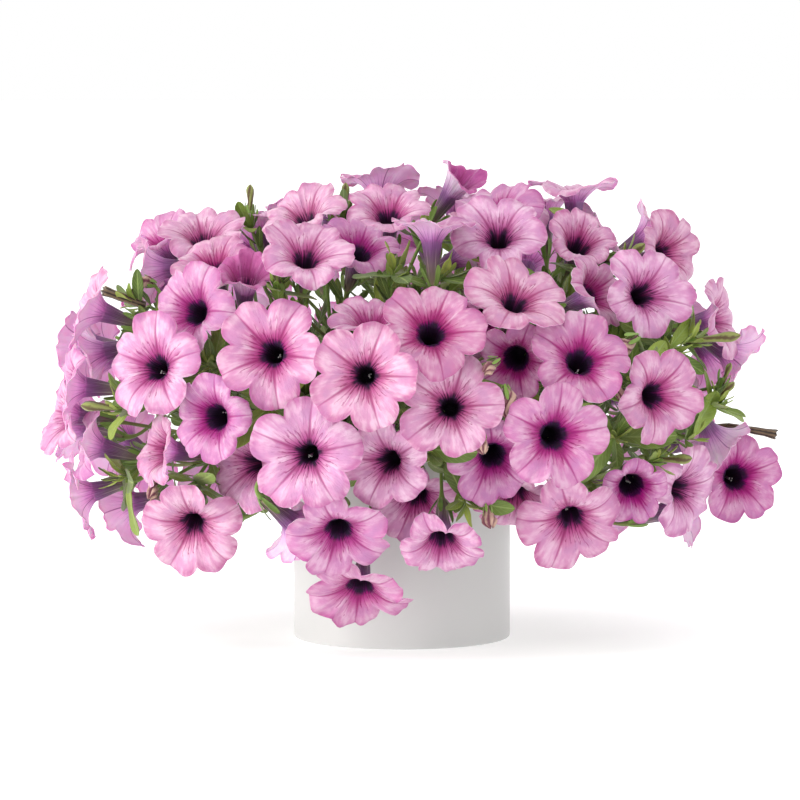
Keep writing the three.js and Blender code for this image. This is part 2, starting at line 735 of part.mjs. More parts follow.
function ruleShoots(blooms, front) {
  const found = [];
  for (let i = 0; i < SHOOT_TRIES; i += 1) {
    const next = draws(SEED.sizes + i);
    const { out, at, reach } = spreadOnMound(i, SHOOT_TRIES);
    const point = at(reach - SHOOT_SINK);
    if (point.y < BACK_FROM || point.z < SHOOT_LOWEST) continue;
    if (blooms.some((b) => b.throat.distanceTo(point) < SHOOT_ROOM)) continue;
    if ([...front, ...found].some((s) => s.point.distanceTo(point) < SHOOT_SPACING)) continue;
    const leaves = 3 + Math.floor(2 * next());
    const leafLength = mix(26, 36, next());
    const bud = next() < 0.3 ? 24 : 0;
    found.push({ point, slide: out.clone().negate(), out, leaves, leafLength, bud, seed: SEED.shoot + i });
  }
  return found;
}

// One leaf grows out of a facet of the shoot's tip: it turns from the tall, narrow facet into a flat
// blade, which widens, narrows and ends in a point, arching over along its length.
function leafSections(facet, out, design, extra) {
  const middle = meanOf(facet.map((p) => p.clone()));
  const side = facet[1].clone().sub(facet[0]).normalize();
  const away = side.clone().cross(out).normalize();
  const along = away.multiplyScalar(Math.cos(design.lean)).addScaledVector(out, Math.sin(design.lean));
  const normal = along.clone().cross(side);
  const at = (share, aside, level) =>
    middle
      .clone()
      .addScaledVector(along, share * design.length + (share === 1 ? extra : 0))
      .addScaledVector(side, aside * (design.width / 2 + extra))
      .addScaledVector(normal, level * (LEAF / 2 + extra) - design.droop * design.length * share ** 2);
  const section = (share, width) =>
    [[-1, -1], [1, -1], [1, 1], [-1, 1]].map(([aside, level]) => at(share, aside * width, level));
  const blade = design.length > LARGE_LEAF ? [section(0.32, 1), section(0.68, 0.8)] : [section(0.45, 1)];
  return { blade, tip: [at(1, 0, -1), at(1, 0, 1)] };
}

// The shoot as one closed solid: its stalk, the leaves round its tip and the bud on the end of it.
// designs holds one leaf, or nothing, for each side of the shoot.
function shootSolid(path, out, sides, designs, bud, extra = 0) {
  const points = [];
  const faces = [];
  const add = (p) => points.push(p) - 1;
  const tip = path.at(-1);
  let side = out.clone().cross(Math.abs(out.z) > 0.95 ? vec(1, 0, 0) : UP).normalize();
  const ringAt = (centre, along, radius, count) => {
    side = side.clone().addScaledVector(along, -side.dot(along)).normalize();
    const over = along.clone().cross(side);
    return Array.from({ length: count }, (_, k) =>
      add(
        centre
          .clone()
          .addScaledVector(side, (radius + extra) * Math.cos((2 * Math.PI * k) / count))
          .addScaledVector(over, (radius + extra) * Math.sin((2 * Math.PI * k) / count)),
      ),
    );
  };
  // from the tip back to the start, so that the leaves stand the same way whatever the path
  const rings = [
    ringAt(tip, out, SHOOT_RADIUS, sides),
    ringAt(tip.clone().addScaledVector(out, -HUB_LENGTH), out, SHOOT_RADIUS, sides),
    ringAt(path[1], path[2].clone().sub(path[0]).normalize(), SHOOT_RADIUS, 3),
    ringAt(path[0], path[1].clone().sub(path[0]).normalize(), SHOOT_RADIUS + 0.2, 3),
  ].reverse();
  side = points[rings[3][0]].clone().sub(tip);
  if (bud) {
    rings.push(ringAt(tip.clone().addScaledVector(out, 0.75 * bud), out, BUD_RADIUS, sides));
    rings.push(ringAt(tip.clone().addScaledVector(out, bud), out, 0.3 * BUD_RADIUS, sides));
  }
  band(faces, rings[0], rings[1]);
  band(faces, rings[1], rings[2]);
  rings.slice(3).forEach((ring, i) => {
    const below = rings[i + 2];
    for (let k = 0; k < sides; k += 1) {
      const next = (k + 1) % sides;
      const facet = [below[k], below[next], ring[next], ring[k]];
      const design = i === 0 ? designs[k] : null;
      if (!design) {
        faces.push(facet[0], facet[1], facet[2], facet[0], facet[2], facet[3]);
        continue;
      }
      const { blade, tip: point } = leafSections(facet.map((n) => points[n]), out, design, extra);
      let last = facet;
      for (const section of blade) {
        const ringNow = section.map(add);
        last.forEach((p, j) => {
          const q = (j + 1) % 4;
          faces.push(p, last[q], ringNow[q], p, ringNow[q], ringNow[j]);
        });
        last = ringNow;
      }
      const [low, high] = point.map(add);
      const [a, b, c, d] = last;
      faces.push(a, b, low, b, c, high, b, high, low, c, d, high, d, a, low, d, low, high);
    }
  });
  const [first, last] = [rings[0], rings.at(-1)];
  faces.push(first[0], first[2], first[1]);
  for (let k = 1; k < sides - 1; k += 1) faces.push(last[0], last[k], last[k + 1]);
  return solidFrom(geometryFrom(points, faces));
}

// Grows a shoot out of the nearest twig, with its leaves and bud, each only where it clears the rest.
function growShoot(shoot, stems, bunches) {
  const starts = stems.flatMap((stem) => stem.starts.map((point) => ({ stem, point })));
  starts.forEach((start) => (start.reach = start.point.distanceTo(shoot.point)));
  starts.sort((a, b) => a.reach - b.reach);
  const clearOf = (stem) => clearOfAll([...bunches, ...stems.filter((one) => one !== stem)]);
  const sides = Math.max(3, shoot.leaves);
  const options = SINKS.flatMap((sink) =>
    starts.slice(0, SHOOT_STARTS).flatMap((start) => BENDS.map((bend) => ({ ...start, sink, bend }))),
  );
  const pathOf = ({ point, sink, bend }) =>
    bentPath(point, shoot.point.clone().addScaledVector(shoot.slide, sink), shoot.out, bend, 2);
  const found = options.find((option) =>
    clearOf(option.stem)(shootSolid(pathOf(option), shoot.out, sides, [], 0, CLEARANCE)),
  );
  if (!found) return;
  const { stem } = found;
  const path = pathOf(found);
  const clear = clearOf(stem);
  const budFits = clear(shootSolid(path, shoot.out, sides, [], shoot.bud, CLEARANCE));
  const next = draws(shoot.seed);
  const designs = [];
  for (let k = 0; k < shoot.leaves; k += 1) {
    const full = shoot.leafLength * mix(0.85, 1.15, next());
    const slim = mix(0.34, 0.46, next());
    const droop = mix(0.05, 0.25, next());
    const lean = rad(mix(0, 45, next()));
    const options = [1, 0.8, 0.6].flatMap((size) =>
      [lean, rad(50) - lean, rad(-15)].map((way) => leafDesign(size * full, slim, droop, way, sides)),
    );
    designs[k] = options.find((design) => {
      const alone = [];
      alone[k] = design;
      return clear(shootSolid(path, shoot.out, sides, alone, 0, CLEARANCE));
    });
  }
  stem.solid = stem.solid.add(shootSolid(path, shoot.out, sides, designs, budFits ? shoot.bud : 0));
}

// A leaf no wider than its neighbours round the shoot allow.
function leafDesign(length, slim, droop, lean, sides) {
  const reach = SHOOT_RADIUS + 0.32 * length * Math.cos(lean);
  const room = 1.7 * reach * Math.tan(Math.PI / Math.max(sides, 4));
  return { length, width: Math.min(slim * length, room), droop, lean };
}

// ---------------------------------------------------------------- the pot and its soil

// A solid of revolution from its half profile, given from the axis round to the axis again.
function turned(profile) {
  const lathe = new THREE.LatheGeometry(profile.map(([r, z]) => new THREE.Vector2(r, z)), POT_SIDES);
  return lathe.rotateX(Math.PI / 2);
}

function potGeometry() {
  const inner = POT_RADIUS - POT_WALL;
  return turned([
    [0, 0],
    [POT_RADIUS - POT_EDGE, 0],
    [POT_RADIUS, POT_EDGE],
    [POT_RADIUS, POT_HEIGHT - POT_EDGE],
    [POT_RADIUS - POT_EDGE, POT_HEIGHT],
    [inner, POT_HEIGHT],
    [inner, POT_FLOOR],
    [0, POT_FLOOR],
  ]);
}

// The soil fills the pot almost to its lip, rises a little in the middle, and has a plain hole for the
// foot of each stem.
function soilGeometry(stems) {
  const radius = POT_RADIUS - POT_WALL - GAP;
  const body = turned([
    [0, POT_FLOOR + GAP],
    [radius, POT_FLOOR + GAP],
    [radius, SOIL_LEVEL - SOIL_CROWN],
    [0.6 * radius, SOIL_LEVEL - 0.4 * SOIL_CROWN],
    [0, SOIL_LEVEL],
  ]);
  const holes = stems.map(({ foot }) => {
    const bottom = foot.clone().addScaledVector(UP, -GAP);
    const top = foot.clone().setZ(SOIL_LEVEL + 5);
    const hole = tubeAlong([bottom, top], [STEM_RADIUS + 1.4 * GAP, STEM_RADIUS + 1.4 * GAP], 5);
    return solidFrom(hole);
  });
  return geometryOf(holes.reduce((soil, hole) => soil.subtract(hole), solidFrom(body)));
}

// ---------------------------------------------------------------- the plant in its pot

const blooms = placeBlooms();
const bunches = placeBunches(blooms);
const stems = plantStems(bunches);
for (const stem of stems) growTwigs(stem, stems, bunches);
const front = frontShoots();
for (const shoot of [...front, ...ruleShoots(blooms, front)]) growShoot(shoot, stems, bunches);

const WHITE_GLAZE = { color: "#f4f4f3", roughness: 0.35, metalness: 0 };
const SOIL_BROWN = { color: "#4a3326", roughness: 0.95, metalness: 0 };
const LEAF_GREEN = { color: "#5c8a34", roughness: 0.6, metalness: 0 };
const PETAL_PINK = { color: "#e79ccc", roughness: 0.55, metalness: 0 };

function piece(name, geometry, finish) {
  const mesh = new THREE.Mesh(geometry, new THREE.MeshStandardMaterial(finish));
  mesh.name = name;
  return mesh;
}

const numbered = (name, i) => `${name}_${String(i + 1).padStart(2, "0")}`;

const petunia = new THREE.Group();
petunia.add(piece("pot", potGeometry(), WHITE_GLAZE));
petunia.add(piece("potting_mix", soilGeometry(stems), SOIL_BROWN));
stems.forEach((stem, i) => petunia.add(piece(numbered("leafy_stem", i), geometryOf(stem.solid), LEAF_GREEN)));
bunches.forEach((bunch, i) =>
  petunia.add(piece(numbered("bloom_bunch", i), geometryOf(bunch.solid), PETAL_PINK)),
);

export default petunia;
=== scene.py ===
"""A mounded pink petunia in full bloom, planted in a plain white cylinder pot.

Lengths are in millimetres until a mesh is made, when MM turns them to metres. +Z is up and the viewer
stands on the -Y side. The plant follows the same tables and rules as the plain solids of the frame.
Where a rule chose the first of several ways that had room, the choice is read off the solids.
"""

import math

import bpy
import numpy as np
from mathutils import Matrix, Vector
from mathutils.bvhtree import BVHTree
from mathutils.kdtree import KDTree


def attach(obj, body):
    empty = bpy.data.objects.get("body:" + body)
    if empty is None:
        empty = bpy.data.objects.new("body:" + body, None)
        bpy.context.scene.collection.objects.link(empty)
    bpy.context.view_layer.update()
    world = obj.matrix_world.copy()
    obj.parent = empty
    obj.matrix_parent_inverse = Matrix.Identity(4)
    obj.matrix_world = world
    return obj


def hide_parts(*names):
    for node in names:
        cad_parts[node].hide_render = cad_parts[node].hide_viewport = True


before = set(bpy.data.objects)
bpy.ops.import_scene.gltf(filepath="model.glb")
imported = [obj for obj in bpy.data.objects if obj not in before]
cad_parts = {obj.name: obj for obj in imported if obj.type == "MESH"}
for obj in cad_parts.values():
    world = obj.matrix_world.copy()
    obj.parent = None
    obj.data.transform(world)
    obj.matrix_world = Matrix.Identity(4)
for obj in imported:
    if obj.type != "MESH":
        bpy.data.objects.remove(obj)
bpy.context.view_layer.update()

MM = 0.001

# ---------------------------------------------------------------- small helpers

UP = np.array((0.0, 0.0, 1.0))
GOLDEN_ANGLE = math.pi * (3 - math.sqrt(5))


def vec(*numbers):
    return np.array(numbers, dtype=float)


def length(v):
    return float(np.sqrt(v @ v))


def unit(v):
    """A way's unit length, or no length where it has none."""
    return v / (length(v) or 1)


def mix(a, b, share):
    return a + (b - a) * share


def round_about(count, way=1):
    """So many even turns round a ring, one way or the other."""
    return np.arange(count) * way * 2 * math.pi / count


def circle(turns, radius, level):
    """A level ring of points round the upright axis."""
    return np.column_stack([radius * np.cos(turns), radius * np.sin(turns), np.full(len(turns), level)])


def crosswise(way, lean=(0.2, 0.9, 0.3)):
    """Two ways at right angles to this one and to each other."""
    side = unit(np.cross(way, vec(*lean)))
    return side, np.cross(way, side)


def draws(seed):
    """A seeded row of draws from 0 to 1, the same on every run."""
    modulus, factor = 2147483647, 16807
    state = (seed * 7919 + 101) % modulus
    for _ in range(3):  # the first few depend too plainly on the seed
        state = (state * factor) % modulus
    while True:
        state = (state * factor) % modulus
        yield state / modulus


def bezier(points, shares):
    """Points of the curve with these control points, at each share of its way."""
    shares = np.asarray(shares, dtype=float)[:, None]
    level = [np.broadcast_to(p, (len(shares), 3)) for p in points]
    while len(level) > 1:
        level = [mix(a, b, shares) for a, b in zip(level, level[1:])]
    return level[0]


# ---------------------------------------------------------------- sizes shared with the plain solids

POT_RADIUS = 65
POT_HEIGHT = 112
POT_WALL = 3
POT_FLOOR = 5  # the thickness of its floor
SOIL_LEVEL = 101
SOIL_CROWN = 3  # how much lower the soil lies at the wall than in the middle
GAP = 0.3  # between pieces that rest on each other

MOUND_RADIUS = 198
MOUND_DEPTH_SHARE = 0.93  # of its width, from front to back
MOUND_WIDEST = 150  # the height at which it is widest
MOUND_TOP = 256
MOUND_HEM = 25  # the height of its lower edge
MOUND_HEM_RADIUS = 106
MOUND_HEART = vec(0, 0, MOUND_WIDEST - 10)  # what the blooms of the back are spread round

VIEW_TILT = math.radians(4.4)
VIEW_DISTANCE = 2600
VIEW_HEIGHT = 142.3
VIEW_ASIDE = -1.2

BLOOM_WIDTH = 62
LOBES = 5
NOTCH = 0.2  # how deep the notch between two lobes is, of the bloom's radius
RIM_RISE = 9  # how far the rim stands before the throat
TUBE_LENGTH = 27
THROAT_DEPTH = 15  # where the solids' throats end
STALK_STRAIGHT = 17  # a stalk leaves its bloom straight for about this long
STUB = 8.5  # the length of the stub in which the stalks of a bunch meet
STUB_RADIUS = 2.4
STALK_STEP = 1.1  # from one stalk's joint on the stub to the next

STEMS = 14
STEM_RADIUS = 2.4
TWIG_RADIUS = 1.8
FORK_RADIUS = TWIG_RADIUS + 0.3  # of a stem, at its top
SHOOT_RADIUS = 1.2
STEM_DEPTH = 16  # how deep a stem stands in the soil
FOOT_REACH = (14, 48)  # how far from the pot's middle the stems stand
FORK_ABOVE_RIM = 24  # the lowest fork, above the pot's rim
SOLID_LEAF = 0.8  # the thickness of a leaf in the solids
HUB_LENGTH = 4  # the stretch of a shoot's tip that its leaves grow out of

# ---------------------------------------------------------------- the mound and the view


def mound_radius(z):
    """The mound's radius at a height: a dome above its widest level, drawn in below it."""
    if z >= MOUND_TOP:
        return 0
    if z > MOUND_WIDEST:
        up = (z - MOUND_WIDEST) / (MOUND_TOP - MOUND_WIDEST)
        return MOUND_RADIUS * math.sqrt(1 - up**2.2)
    down = (MOUND_WIDEST - z) / (MOUND_WIDEST - MOUND_HEM)
    return MOUND_RADIUS - (MOUND_RADIUS - MOUND_HEM_RADIUS) * max(down, 0) ** 1.7


def outside(p):
    """How far a point lies outside the mound's surface; inside it is negative."""
    return math.hypot(p[0], p[1] / MOUND_DEPTH_SHARE) - mound_radius(p[2])


EYE = vec(
    VIEW_ASIDE,
    -VIEW_DISTANCE * math.cos(VIEW_TILT),
    VIEW_HEIGHT + VIEW_DISTANCE * math.sin(VIEW_TILT),
)


def on_mound(across, above):
    """Where a sight line meets the mound, or passes nearest to it, and the sight line's way."""
    high = above - VIEW_HEIGHT
    seen = vec(across, high * math.sin(VIEW_TILT), VIEW_HEIGHT + high * math.cos(VIEW_TILT))
    sight = unit(seen - EYE)
    best, least = None, math.inf
    for step in range(-260, 261):  # in mm, from before the mound to behind it
        point = seen + sight * step
        miss = outside(point)
        if miss < least:
            best, least = point, miss
        if miss < 0:
            break
    return best, sight


# The front blooms: the throat's place in mm across and above, as seen, the way the bloom faces in
# degrees to the right and upward, its width, and how far it stands out towards the viewer.
FRONT_BLOOMS = [
    (-77, 170, -12, 12, 64, 4),
    (17, 181, 5, 30, 62, 8),
    (-22, 157, -4, 5, 63, 6),
    (29, 138, 0, 8, 60, 2),
    (106, 164, 12, 28, 60, 6),
    (90, 121, 12, 0, 61, 8),
    (-56, 110, -8, 2, 65, 8),
    (67, 199, 22, 48, 60, 6),
    (-146, 161, -28, 15, 62, 6),
    (-125, 69, -10, -25, 62, 4),
    (54, 110, 8, -18, 56, -4),
    (-7, 106, -20, -5, 54, 0),
    (101, 73, 5, -30, 62, 4),
    (-38, 66, 0, -35, 60, 6),
    (-25, 32, -10, -50, 62, 0),
    (24, 61, 0, -45, 50, 6),
    (149, 145, 35, 0, 58, 2),
    (143, 205, 25, 15, 56, 6),
    (58, 238, 0, 38, 57, 2),
    (-58, 225, 10, 50, 56, 4),
    (-27, 228, 20, 50, 48, 0),
    (-8, 250, -5, 55, 52, 2),
    (105, 233, 18, 38, 42, 2),
    (-122, 194, -38, 18, 58, 4),
    (-110, 132, -32, 0, 54, 0),
    (-88, 104, -45, -5, 56, -2),
    (137, 92, 8, -15, 40, 6),
    (165, 89, 48, -8, 56, 2),
    (199, 96, 20, 3, 56, 0),
    (155, 230, 50, 15, 54, -20),
    (9, 86, -5, -30, 54, -8),
    (-138, 112, -65, 10, 48, -6),
    (-119, 236, -5, 60, 54, 0),
    (-181, 114, -85, 15, 54, 0),
    (-186, 87, -85, -15, 54, 20),
    (-191, 150, -80, 5, 54, 0),
    (-180, 195, -80, 20, 54, 10),
    (184, 190, 70, 12, 52, 0),
    (-51, 197, -25, 60, 44, -12),
    (-18, 183, 0, 70, 50, -20),
    (46, 192, 25, -30, 48, -30),
    (69, 168, -10, -10, 46, -24),
    (-94, 209, 5, 55, 36, -10),
    (-112, 218, -20, 52, 50, -14),
    (-84, 225, -15, 65, 50, -16),
    (18, 238, 30, 92, 50, -10),
    (34, 228, 75, 30, 50, -16),
    (110, 204, 60, 25, 48, -26),
    (68, 88, 0, -45, 52, -18),
    (-67, 70, 130, -35, 50, -14),
    (103, 262, 0, 92, 56, 0),
    (30, 267, 50, 50, 30, 0),
    (-14, 266, 0, 108, 50, -30),
    (-142, 233, -60, 55, 50, -20),
    (-142, 221, -100, -5, 44, -40),
    (194, 171, 100, -30, 50, -20),
    (182, 171, 125, -45, 46, -50),
    (-178, 171, -100, -15, 48, -40),
    (184, 124, 140, -50, 44, -40),
    (143, 238, 105, 30, 46, -60),
    (-56, 249, -10, 85, 52, -40),
    (-43, 255, -60, 95, 44, -70),
    (-84, 243, 0, 90, 46, -60),
    (32, 255, 10, 98, 48, -50),
    (86, 253, 10, 98, 48, -60),
]

BACK_SPACING = 50
BACK_TRIES = 420
BACK_FROM = -12  # no bloom of the back stands nearer to the viewer
BACK_LOWEST = 58
BACK_WIDTHS = (52, 64)
BACK_SCATTER = 0.7  # how far they turn from facing straight out
OUTWARD_FROM = vec(0, 0, 95)  # what they face away from
SEED = {"front": 1, "scatter": 1000, "back": 2000, "front_shoot": 5000, "sizes": 6000, "shoot": 7000}
# how far a bloom may slide along its sight line to find room
SHIFTS = (0, -4, 4, -8, 8, -12, 12, -16, 16, -20, 20, -24, 24, -28, 28, -34, -40, -46, -52, -60)


def facing(right, up):
    """The way that is turned so many degrees to the right and upward from the viewer's."""
    right, up = math.radians(right), math.radians(up)
    return vec(math.sin(right) * math.cos(up), -math.cos(right) * math.cos(up), math.sin(up))


class Bloom:
    """One bloom: where its throat is, the way it faces, and what is its own about its shape."""

    def __init__(self, throat, face, wide, slide, seed):
        draw = draws(seed)
        openness = wide / BLOOM_WIDTH
        self.throat, self.face, self.wide, self.slide, self.seed = throat, face, wide, slide, seed
        self.roll = math.radians(360 / LOBES) * next(draw)
        self.warp = mix(1.5, 4, next(draw))
        self.warp_turn = math.pi * next(draw)
        self.rise = RIM_RISE * (1 + 1.3 * (1 - openness))
        self.tube = TUBE_LENGTH * mix(0.7, 1, openness)

    def carry(self, local):
        """Places in the bloom's own frame, whose +Z is the way it faces, carried to the plant's frame."""
        right = np.cross(UP, self.face)
        right = unit(right) if length(right) >= 0.05 else vec(1, 0, 0)
        over = np.cross(self.face, right)
        return self.throat + np.asarray(local) @ np.array((right, over, self.face))

    def stalk_start(self, straight):
        """Where its stalk leaves the tube, and the point towards which it first runs."""
        start = self.carry((0, 0, -self.tube))
        return start, start - self.face * straight


def front_blooms():
    """The blooms of the table, each on its sight line."""
    blooms = []
    for i, (across, above, right, up, wide, nearer) in enumerate(FRONT_BLOOMS):
        point, sight = on_mound(across, above)
        blooms.append(Bloom(point - sight * nearer, facing(right, up), wide, -sight, SEED["front"] + i))
    return blooms


def spread_on_mound(i, count):
    """The way out from the mound's heart to place number i of count, and how far out it is."""
    rise = 1 - (2 * (i + 0.5)) / count
    turn = i * GOLDEN_ANGLE
    level = math.sqrt(1 - rise * rise)
    out = vec(level * math.cos(turn), level * math.sin(turn), rise)
    reach = 40
    while outside(MOUND_HEART + out * reach) < 0:
        reach += 1
    return out, reach


def back_blooms(front, spacing=BACK_SPACING, foremost=BACK_FROM):
    """Blooms spread over the rest of the mound, each so far from every other, and facing out."""
    found = []
    for i in range(BACK_TRIES):
        draw = draws(SEED["scatter"] + i)
        out, reach = spread_on_mound(i, BACK_TRIES)
        point = MOUND_HEART + out * reach
        if point[1] < foremost or point[2] < BACK_LOWEST:
            continue
        if any(length(b.throat - point) < spacing for b in front + found):
            continue
        scatter = vec(next(draw) - 0.5, next(draw) - 0.5, next(draw) - 0.5) * BACK_SCATTER
        face = unit(unit(point - OUTWARD_FROM) + scatter)
        wide = mix(*BACK_WIDTHS, next(draw))
        found.append(Bloom(point, face, wide, face, SEED["back"] + i))
    return found


# ---------------------------------------------------------------- reading the choices off the solids


CORNER_REACH = 0.1  # a corner of a solid lies no further from where its rule puts it
RING_BAND = 0.04  # and no further from its ring's radius


class Solids:
    """The corners of the frame's solids, to look up which way each rule chose."""

    def __init__(self):
        corners, self.owners = [], []
        for name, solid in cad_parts.items():
            for vertex in solid.data.vertices:
                corners.append(vertex.co / MM)
                self.owners.append(name)
        self.tree = KDTree(len(corners))
        for i, corner in enumerate(corners):
            self.tree.insert(corner, i)
        self.tree.balance()

    def owner(self, point):
        """The node that has a corner at this point, or nothing."""
        _, index, reach = self.tree.find(point)
        return self.owners[index] if reach < CORNER_REACH else None

    def on_ring(self, centre, radius, owner=None):
        """How many corners, of one node or of any, lie at this distance from a centre."""
        near = self.tree.find_range(centre, radius + RING_BAND)
        places = {
            tuple(round(c, 2) for c in corner)
            for corner, index, reach in near
            if reach > radius - RING_BAND and (owner is None or self.owners[index] == owner)
        }
        return len(places)


solids = Solids()


def growing_blooms():
    """The blooms that the solids have, each moved to where it had room, and gathered by bunch."""
    front = front_blooms()
    bunches = {}
    for bloom in front + back_blooms(front):
        home = bloom.throat
        for shift in SHIFTS:
            bloom.throat = home + bloom.slide * shift
            owner = solids.owner(bloom.carry((0, 0, -THROAT_DEPTH)))
            if owner:
                bunches.setdefault(owner, []).append(bloom)
                break
    return [(name, bunches[name]) for name in sorted(bunches)]


# what a bunch may try: how long its stalks run straight, how far its stub is drawn in towards the
# mound's heart, and how far it moves aside and up
STRAIGHTS = [share * STALK_STRAIGHT for share in (1, 0.4, 1.7)]
PULLS = (0.3, 0.2, 0.42, 0.1, 0.55)
SIDE_STEPS = ((0, 0), (9, 0), (-9, 0), (0, 9), (0, -9), (18, 0), (-18, 0), (0, 18), (0, -18))


def fork_for(point):
    """Where a stem would fork to reach a bunch at this point."""
    high = max(POT_HEIGHT + FORK_ABOVE_RIM, (point[2] + 140) / 2)
    return vec(0.7 * point[0], 0.7 * point[1], high)


class Bunch:
    """Blooms whose stalks meet in one stub."""

    def __init__(self, name, blooms):
        self.name, self.blooms = name, blooms
        roots = [b.throat - b.face * (b.tube + STALK_STRAIGHT) for b in blooms]
        mean = sum(roots) / len(roots)
        inner = vec(0.55 * mean[0], 0.55 * mean[1], 145)
        sideways = unit(vec(-mean[1], mean[0], 0))
        options = [
            (straight, mix(mean, inner, pull) + sideways * aside + UP * higher)
            for straight in STRAIGHTS
            for pull in PULLS
            for aside, higher in SIDE_STEPS
        ]

        def corners(option):
            """How many corners the solid has where the option's stub would end."""
            way = unit(fork_for(option[1]) - option[1])
            return solids.on_ring(option[1] + way * STUB, STUB_RADIUS, name)

        self.straight, self.point = max(options, key=corners)
        self.to_fork = unit(fork_for(self.point) - self.point)
        arrival = [unit(self.point - b.stalk_start(self.straight)[1]) @ self.to_fork for b in blooms]
        self.main = int(np.argmax(arrival))  # the bloom whose stalk goes on as the stub
        self.late = []  # blooms that only this script adds


def gather(points, count):
    """Points gathered round a number of centres that start far apart and then settle."""
    points = np.array(points)
    centres = [points[0]]
    while len(centres) < count:
        reach = np.min([np.linalg.norm(points - c, axis=1) for c in centres], axis=0)
        centres.append(points[int(np.argmax(reach))])
    for _ in range(12):
        reach = np.array([np.linalg.norm(points - c, axis=1) for c in centres])
        nearest = np.argmin(reach, axis=0)
        groups = [np.flatnonzero(nearest == k) for k in range(count)]
        centres = [points[g].mean(axis=0) if len(g) else c for g, c in zip(groups, centres)]
    return [g for g in groups if len(g)]


# bends that a twig or shoot may take to pass its neighbours, in mm aside and upward
BENDS = [(0, 0)] + [
    (b * across, b * over)
    for b in (8, 16, 26)
    for across, over in ((1, 0), (-1, 0), (0, 1), (0, -1), (1, 1), (-1, 1), (1, -1), (-1, -1))
]
START_SHARES = (0, 0.17, 0.33, 0.5, 0.67, 0.83)


def bent_path(start, end, arriving, bend):
    """A bent path from start to end that arrives along the way given: its start, middle and end."""
    along = unit(end - start)
    side = unit(np.cross(along, UP))
    over = np.cross(side, along)
    early = mix(start, end, 0.35) + side * bend[0] + over * bend[1]
    late = end - arriving * 0.25 * length(end - start)
    return bezier((start, early, late, end), (0, 0.5, 1))


def between(path):
    """Places along a path at which shoots may start."""
    return [mix(a, b, share) for a, b in zip(path, path[1:]) for share in START_SHARES]


LIFTS = (0, 8, -8, 16)  # how far a stem may raise its fork
TURNS = (0, 14, -14, 28, -28, 42, -42)  # and how many degrees round the pot it may move its foot


class Stem:
    """A stem from its foot in the soil to its fork, and the twigs that carry its bunches."""

    def __init__(self, name, bunches):
        self.name = name
        home = sum(fork_for(b.point) for b in bunches) / len(bunches)
        lowest = min(b.point[2] for b in bunches)
        options = [self.axis_for(home, lowest, lift, turn) for lift in LIFTS for turn in TURNS]
        self.axis = max(options, key=self.corners_of)
        self.starts = between(self.axis[2:])
        self.twigs = []
        for bunch in bunches:
            end = bunch.point + bunch.to_fork * (STUB + GAP)
            starts = [self.axis[-1]] + self.starts[::3]
            paths = [bent_path(s, end, -bunch.to_fork, bend) for s in starts for bend in BENDS]
            twig = max(paths, key=lambda path: solids.on_ring(path[1], TWIG_RADIUS - 0.1, name))
            self.twigs.append(twig)
            self.starts += between(twig)

    def corners_of(self, axis):
        """How many corners the solid has round the lower points of an axis."""
        radii = np.linspace(STEM_RADIUS, FORK_RADIUS, len(axis))
        return sum(solids.on_ring(axis[i], radii[i], self.name) for i in (0, 1, 2, 3))

    @staticmethod
    def axis_for(home, lowest, lift, turn):
        """A stem's axis: it stands further out in the pot the lower the bunches that it carries."""
        fork = home + UP * lift
        reach = FOOT_REACH[0] + (230 - lowest) / 150 * (FOOT_REACH[1] - FOOT_REACH[0])
        reach = min(max(reach, FOOT_REACH[0]), FOOT_REACH[1])
        level = unit(vec(home[0], home[1], 0)) * reach
        c, s = math.cos(math.radians(turn)), math.sin(math.radians(turn))
        foot = vec(c * level[0] - s * level[1], s * level[0] + c * level[1], SOIL_LEVEL - STEM_DEPTH + GAP)
        top = vec(foot[0], foot[1], SOIL_LEVEL + 6)
        rise = top + UP * 0.45 * max(40, fork[2] - top[2])
        back = mix(fork, top, 0.3) + UP * 8
        return np.vstack([foot[None], bezier((top, rise, back, fork), (0, 1 / 3, 2 / 3, 1))])


# ---------------------------------------------------------------- shoots and their leaves

# The shoots of the front that show between the blooms: place and way as for the blooms, the number of
# leaves, their length, and the length of a bud at the tip.
FRONT_SHOOTS = [
    (-5, 219, 0, 70, -24, 5, 30, 0),
    (23, 217, 20, 55, -30, 4, 30, 0),
    (51, 223, -30, 50, -28, 3, 28, 0),
    (-75, 209, 30, 60, -16, 4, 22, 0),
    (-108, 200, -70, 10, -22, 0, 24, 34),
    (-115, 163, -30, 10, -22, 5, 30, 0),
    (-79, 139, -10, -5, -22, 4, 32, 0),
    (-166, 96, -75, -5, -14, 5, 34, 0),
    (-125, 92, -20, -40, -18, 4, 30, 0),
    (74, 153, 10, 20, -16, 5, 26, 0),
    (128, 120, 20, 0, -18, 5, 38, 0),
    (113, 94, 5, -40, -14, 3, 34, 0),
    (187, 140, 60, 45, -14, 6, 24, 20),
    (160, 172, 45, 10, -18, 4, 28, 0),
    (111, 218, 10, 60, -22, 4, 26, 0),
    (122, 203, 40, 10, -20, 4, 24, 0),
    (172, 119, 60, 10, -14, 4, 30, 0),
    (13, 113, 0, -10, -18, 3, 28, 0),
    (38, 82, 10, -40, -14, 3, 26, 0),
    (-44, 82, -10, -30, -14, 3, 26, 0),
    (140, 154, 20, 10, -18, 4, 28, 0),
    (-165, 137, -80, 5, -14, 3, 24, 28),
    (-160, 201, -70, 20, -6, 0, 24, 34),
    (-91, 247, -10, 80, -14, 2, 20, 14),
    (-34, 248, 0, 80, -14, 2, 20, 14),
    (170, 177, 75, 8, -14, 3, 24, 34),
    (128, 222, 55, 35, -20, 3, 24, 26),
    (150, 106, 65, 5, -14, 3, 26, 26),
    (106, 250, -10, 80, -24, 2, 20, 16),
]

